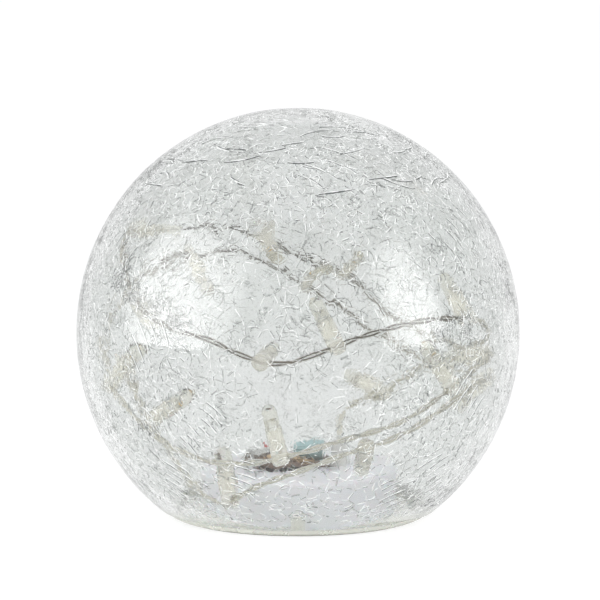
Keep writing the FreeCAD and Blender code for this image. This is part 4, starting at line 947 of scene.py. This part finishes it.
# One lamp, with its tail at the wire and its own axis along Z.
DOME_LOW = 0.009
DOME_RADIUS = 0.0025
DOME_BODY = 0.006                    # from the flange's bottom to where the dome begins
DOME_STEPS = 8
DOME_SPIN = 28
FLANGE_RADIUS = 0.00275
FLANGE_HEIGHT = 0.001
FLANGE_EDGE = 0.0002
FLANGE_FLAT = DOME_RADIUS + 0.00003
LEADS = [   # place across, width, bottom and top: two legs, the anvil's plate and the post's head
    (-0.0011, 0.0005, 0.003, 0.0119), (0.0011, 0.0005, 0.003, 0.0125),
    (-0.0006, 0.0016, 0.0108, 0.0119), (0.00085, 0.0009, 0.0116, 0.0125)]
LEAD_THICKNESS = 0.0005
LEAD_EDGE = 0.00008
CUP_PLACE = (-0.0004, 0, 0.01225)
CUP_RADII = (0.00045, 0.0009)
CUP_HEIGHT = 0.0007
CUP_WALL = 0.00012
CUP_DEPTH = 0.0004
DIE_PLACE = (-0.0004, 0, 0.0123)
DIE_RADIUS = 0.00055


def lamp_dome():
    """The clear case of one lamp: a flange with one flat side, a straight body and a dome."""
    flange_top = DOME_LOW + FLANGE_HEIGHT
    shoulder = DOME_LOW + DOME_BODY
    profile = [(0, DOME_LOW), (FLANGE_RADIUS - FLANGE_EDGE, DOME_LOW),
               (FLANGE_RADIUS, DOME_LOW + FLANGE_EDGE), (FLANGE_RADIUS, flange_top - FLANGE_EDGE),
               (FLANGE_RADIUS - FLANGE_EDGE, flange_top), (DOME_RADIUS, flange_top)]
    for step in range(DOME_STEPS):
        turn = math.pi / 2 * step / DOME_STEPS
        profile.append((DOME_RADIUS * math.cos(turn), shoulder + DOME_RADIUS * math.sin(turn)))
    profile.append((0, shoulder + DOME_RADIUS))
    mesh = bpy.data.meshes.new("LampDome")
    mesh.from_pydata([(x, 0, z) for x, z in profile], [(i, i + 1) for i in range(len(profile) - 1)], [])
    dome = bpy.data.objects.new("LampDome", mesh)
    bpy.context.scene.collection.objects.link(dome)
    active(dome)
    with editing("SELECT"):
        bpy.ops.mesh.spin(steps=DOME_SPIN, angle=2 * math.pi, center=(0, 0, 0), axis=(0, 0, 1))
        bpy.ops.mesh.select_all(action="SELECT")
        bpy.ops.mesh.remove_doubles(threshold=0.000002)
        bpy.ops.mesh.normals_make_consistent(inside=False)
    for vertex in dome.data.vertices:
        if vertex.co.z < flange_top + FLANGE_EDGE / 2 and vertex.co.x > FLANGE_FLAT:
            vertex.co.x = FLANGE_FLAT
    bpy.ops.object.shade_smooth_by_angle(angle=math.radians(35))
    return dome


def lamp_leads():
    """Two legs up through the flange: one ends in a post, the other in an anvil with a cup."""
    parts = []
    for x, width, low, high in LEADS:
        deselect()
        bpy.ops.mesh.primitive_cube_add(size=1, location=(x, 0, (low + high) / 2),
                                        scale=(width, LEAD_THICKNESS, high - low))
        parts.append(apply_place())
        with editing("SELECT"):
            bpy.ops.mesh.bevel(offset=LEAD_EDGE, segments=2)
    deselect()
    bpy.ops.mesh.primitive_cone_add(vertices=20, radius1=CUP_RADII[0], radius2=CUP_RADII[1], depth=CUP_HEIGHT,
                                    end_fill_type="NGON", location=CUP_PLACE)
    cup = apply_place()
    with editing("DESELECT"):
        bpy.ops.mesh.select_mode(type="FACE")
    for polygon in cup.data.polygons:
        polygon.select = polygon.normal.z > 0.9
    with editing():
        bpy.ops.mesh.inset(thickness=CUP_WALL)
        bpy.ops.transform.translate(value=(0, 0, -CUP_DEPTH))
        bpy.ops.transform.resize(value=(0.7, 0.7, 1))
    return join("LampLeads", [*parts, cup])


def lamp_die():
    """The phosphor in the cup."""
    deselect()
    bpy.ops.mesh.primitive_uv_sphere_add(segments=16, ring_count=8, radius=DIE_RADIUS, location=DIE_PLACE,
                                         scale=(1, 1, 0.6))
    die = apply_place()
    bpy.ops.object.shade_smooth()
    return die


STRAND_SIDES = 10
CORE_SIDES = 6
CORE_SHARE = 0.34                    # of a strand's radius
CORE_BRIGHT, CORE_MID_TONE, CORE_DARK = (0.70, 0.68, 0.61), (0.23, 0.205, 0.165), (0.06, 0.052, 0.038)
CORE_HEIGHTS = (0.042, 0.100)    # lightest below the first, darkest above the second
CORE_REACH = (0.042, 0.058)      # bright again past this distance to either side


def string_core():
    """Tinned copper: lighter in the low runs and in the turns at both sides, darker in the high runs."""
    f = Finish("string_core", CORE_MID_TONE, 0.35, Metallic=1.0)
    high = f.spread(f.along("Z"), 0.0, 1.0, *CORE_HEIGHTS)
    inside = f.spread(f.math("ABSOLUTE", f.along("X")), 1.0, 0.0, *CORE_REACH)
    cloud = f.spread(f.noise(300), 0.85, 1.15)
    dull = f.math("MULTIPLY", f.math("MULTIPLY", high, inside), cloud)
    marks = f.noise(900, 4.0)
    colour = f.ramp(dull, (0.0, CORE_BRIGHT), (0.2, CORE_MID_TONE), (0.75, CORE_DARK))
    return f.set(Base_Color=colour, Roughness=f.spread(marks, 0.2, 0.5), Normal=f.bump(marks, 0.1, 0.00005))


def make_string():
    """The twisted pair along the route, with its lamps."""
    line = smooth_line(string_route())
    rows = frames_along(line)
    wires = strand_mesh("string_wires", line, rows, STRAND_RADIUS, STRAND_SIDES)
    cover = clear_moulding("string_insulation", (0.965, 0.955, 0.92), 0.08, 500, IOR=1.5)
    add(wires, "lamp", cover)
    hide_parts("led_string")
    cores = strand_mesh("string_cores", line, rows, STRAND_RADIUS * CORE_SHARE, CORE_SIDES)
    add(cores, "lamp", string_core())
    places = lamp_frames()
    domes = repeated("lamp_domes", lamp_dome(), places)
    add(domes, "lamp", clear_moulding("lamp_resin", (0.93, 0.92, 0.86), 0.04, 400, IOR=1.5))
    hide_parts("led_bulbs")
    leads = repeated("lamp_leads", lamp_leads(), places)
    add(leads, "lamp", metal("lamp_lead", (0.84, 0.83, 0.80), (0.68, 0.66, 0.63), 0.3))
    dies = repeated("lamp_dies", lamp_die(), places)
    add(dies, "lamp", moulded("lamp_phosphor", (0.80, 0.50, 0.12), (0.66, 0.36, 0.08), 0.5))
    carried = [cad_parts[name] for name in (*SLEEVES, "string_clamp", "string_end_cap")]
    carried += [domes, leads, dies]


# Finishes of the pieces that stay as they are

CELL_BARE_END = 0.0212               # from a cell's middle to where its jacket ends
CELL_BAND = 0.012                    # and to where its pale band begins


def cell_jacket():
    """A cell's plain jacket in two bands, and bare metal at both ends."""
    f = Finish("cell_jacket", (0.30, 0.42, 0.36), 0.35)
    ends = f.math("GREATER_THAN", f.math("ABSOLUTE", f.along("Y")), CELL_BARE_END)
    band = f.math("GREATER_THAN", f.along("Y"), CELL_BAND)
    body = f.ramp(f.noise(120, 3.0), (0.3, (0.20, 0.34, 0.30)), (0.7, (0.25, 0.40, 0.35)))
    colour = f.mixed(ends, f.mixed(band, body, (0.62, 0.60, 0.55)), (0.72, 0.72, 0.70))
    return f.set(Base_Color=colour, Metallic=ends, Roughness=f.spread(f.noise(500), 0.22, 0.42),
                 Normal=f.bump(f.noise(700), 0.05, 0.0001))


def laminate():
    """Brown resin board: a woven ground with darker specks."""
    f = Finish("board_laminate", (0.10, 0.07, 0.05), 0.45)
    weave = f.noise(900, 2.0, place=f.stretched((1, 6, 1)))
    specks = f.math("MULTIPLY", f.noise(150, 4.0), 0.5)
    colour = f.ramp(f.math("ADD", f.math("MULTIPLY", weave, 0.5), specks),
                    (0.35, (0.11, 0.078, 0.062)), (0.6, (0.22, 0.158, 0.117)), (0.75, (0.32, 0.237, 0.17)))
    return f.set(Base_Color=colour, Roughness=f.spread(weave, 0.35, 0.6), Normal=f.bump(weave, 0.2, 0.0001))


def dress_nodes():
    dress(moulded("milky_moulding", (0.90, 0.89, 0.925), (0.86, 0.85, 0.885), 0.42, Subsurface_Weight=0.15,
                  Subsurface_Scale=0.003), "battery_tray", "battery_door", "drum_cover")
    dress(clear_moulding("clear_collar", (0.97, 0.975, 0.925), 0.2, 200, 0.6, IOR=1.49), "collar_ring")
    dress(clear_moulding("seal_silicone", (0.90, 0.905, 0.85), 0.3, 200, IOR=1.42), "rim_seal")
    dress(moulded("foot_silicone", (0.62, 0.62, 0.58), (0.55, 0.55, 0.51), 0.6), "foot_ring")
    dress(moulded("gasket_rubber", (0.05, 0.05, 0.05), (0.03, 0.03, 0.03), 0.7), "door_gasket")
    dress(cell_jacket(), *["battery_cell_%d" % number for number in (1, 2, 3)])
    dress(metal("nickel", (0.78, 0.77, 0.74), (0.58, 0.57, 0.54), 0.28, (1, 1, 8)), "positive_contact",
          "back_bridge_contact", "front_bridge_contact", "negative_contact",
          *["contact_spring_%d" % number for number in (1, 2, 3)])
    dress(laminate(), "circuit_board")
    dress(moulded("chip_resin", (0.035, 0.035, 0.038), (0.02, 0.02, 0.022), 0.55), "timer_chip")
    dress(moulded("capacitor_sleeve", (0.46, 0.63, 0.64), (0.41, 0.58, 0.59), 0.3), "smoothing_capacitor")
    dress(metal("crystal_can", (0.74, 0.74, 0.73), (0.6, 0.6, 0.59), 0.25, (8, 1, 1)), "quartz_crystal")
    dress(moulded("resistor_lacquer", (0.62, 0.47, 0.30), (0.54, 0.40, 0.25), 0.35), "resistors")
    dress(metal("screw_steel", (0.80, 0.80, 0.79), (0.66, 0.66, 0.65), 0.35), "cover_screws", "board_screws")
    dress(moulded("collar_screw_nylon", (0.90, 0.90, 0.88), (0.84, 0.84, 0.82), 0.4), "collar_screws")
    dress(moulded("switch_case", (0.08, 0.08, 0.085), (0.05, 0.05, 0.055), 0.4), "slide_switch")
    dress(moulded("knob_plastic", (0.09, 0.09, 0.095), (0.06, 0.06, 0.065), 0.35), "switch_knob")
    dress(moulded("red_insulation", (0.55, 0.05, 0.04), (0.45, 0.03, 0.03), 0.4), "red_lead")
    dress(moulded("black_insulation", (0.03, 0.03, 0.03), (0.02, 0.02, 0.02), 0.4), "black_lead")
    dress(moulded("white_insulation", (0.75, 0.75, 0.72), (0.66, 0.66, 0.63), 0.4), "white_lead")
    dress(moulded("clamp_plastic", (0.72, 0.72, 0.70), (0.64, 0.64, 0.62), 0.4), "string_clamp")
    dress(clear_moulding("sleeve_plastic", (0.95, 0.94, 0.885), 0.12, 350, 0.78, IOR=1.48), "string_end_cap",
          *SLEEVES)


point_camera()
make_string()
lay_floor()
dress_nodes()
make_globe()
light_the_room(make_fissures())
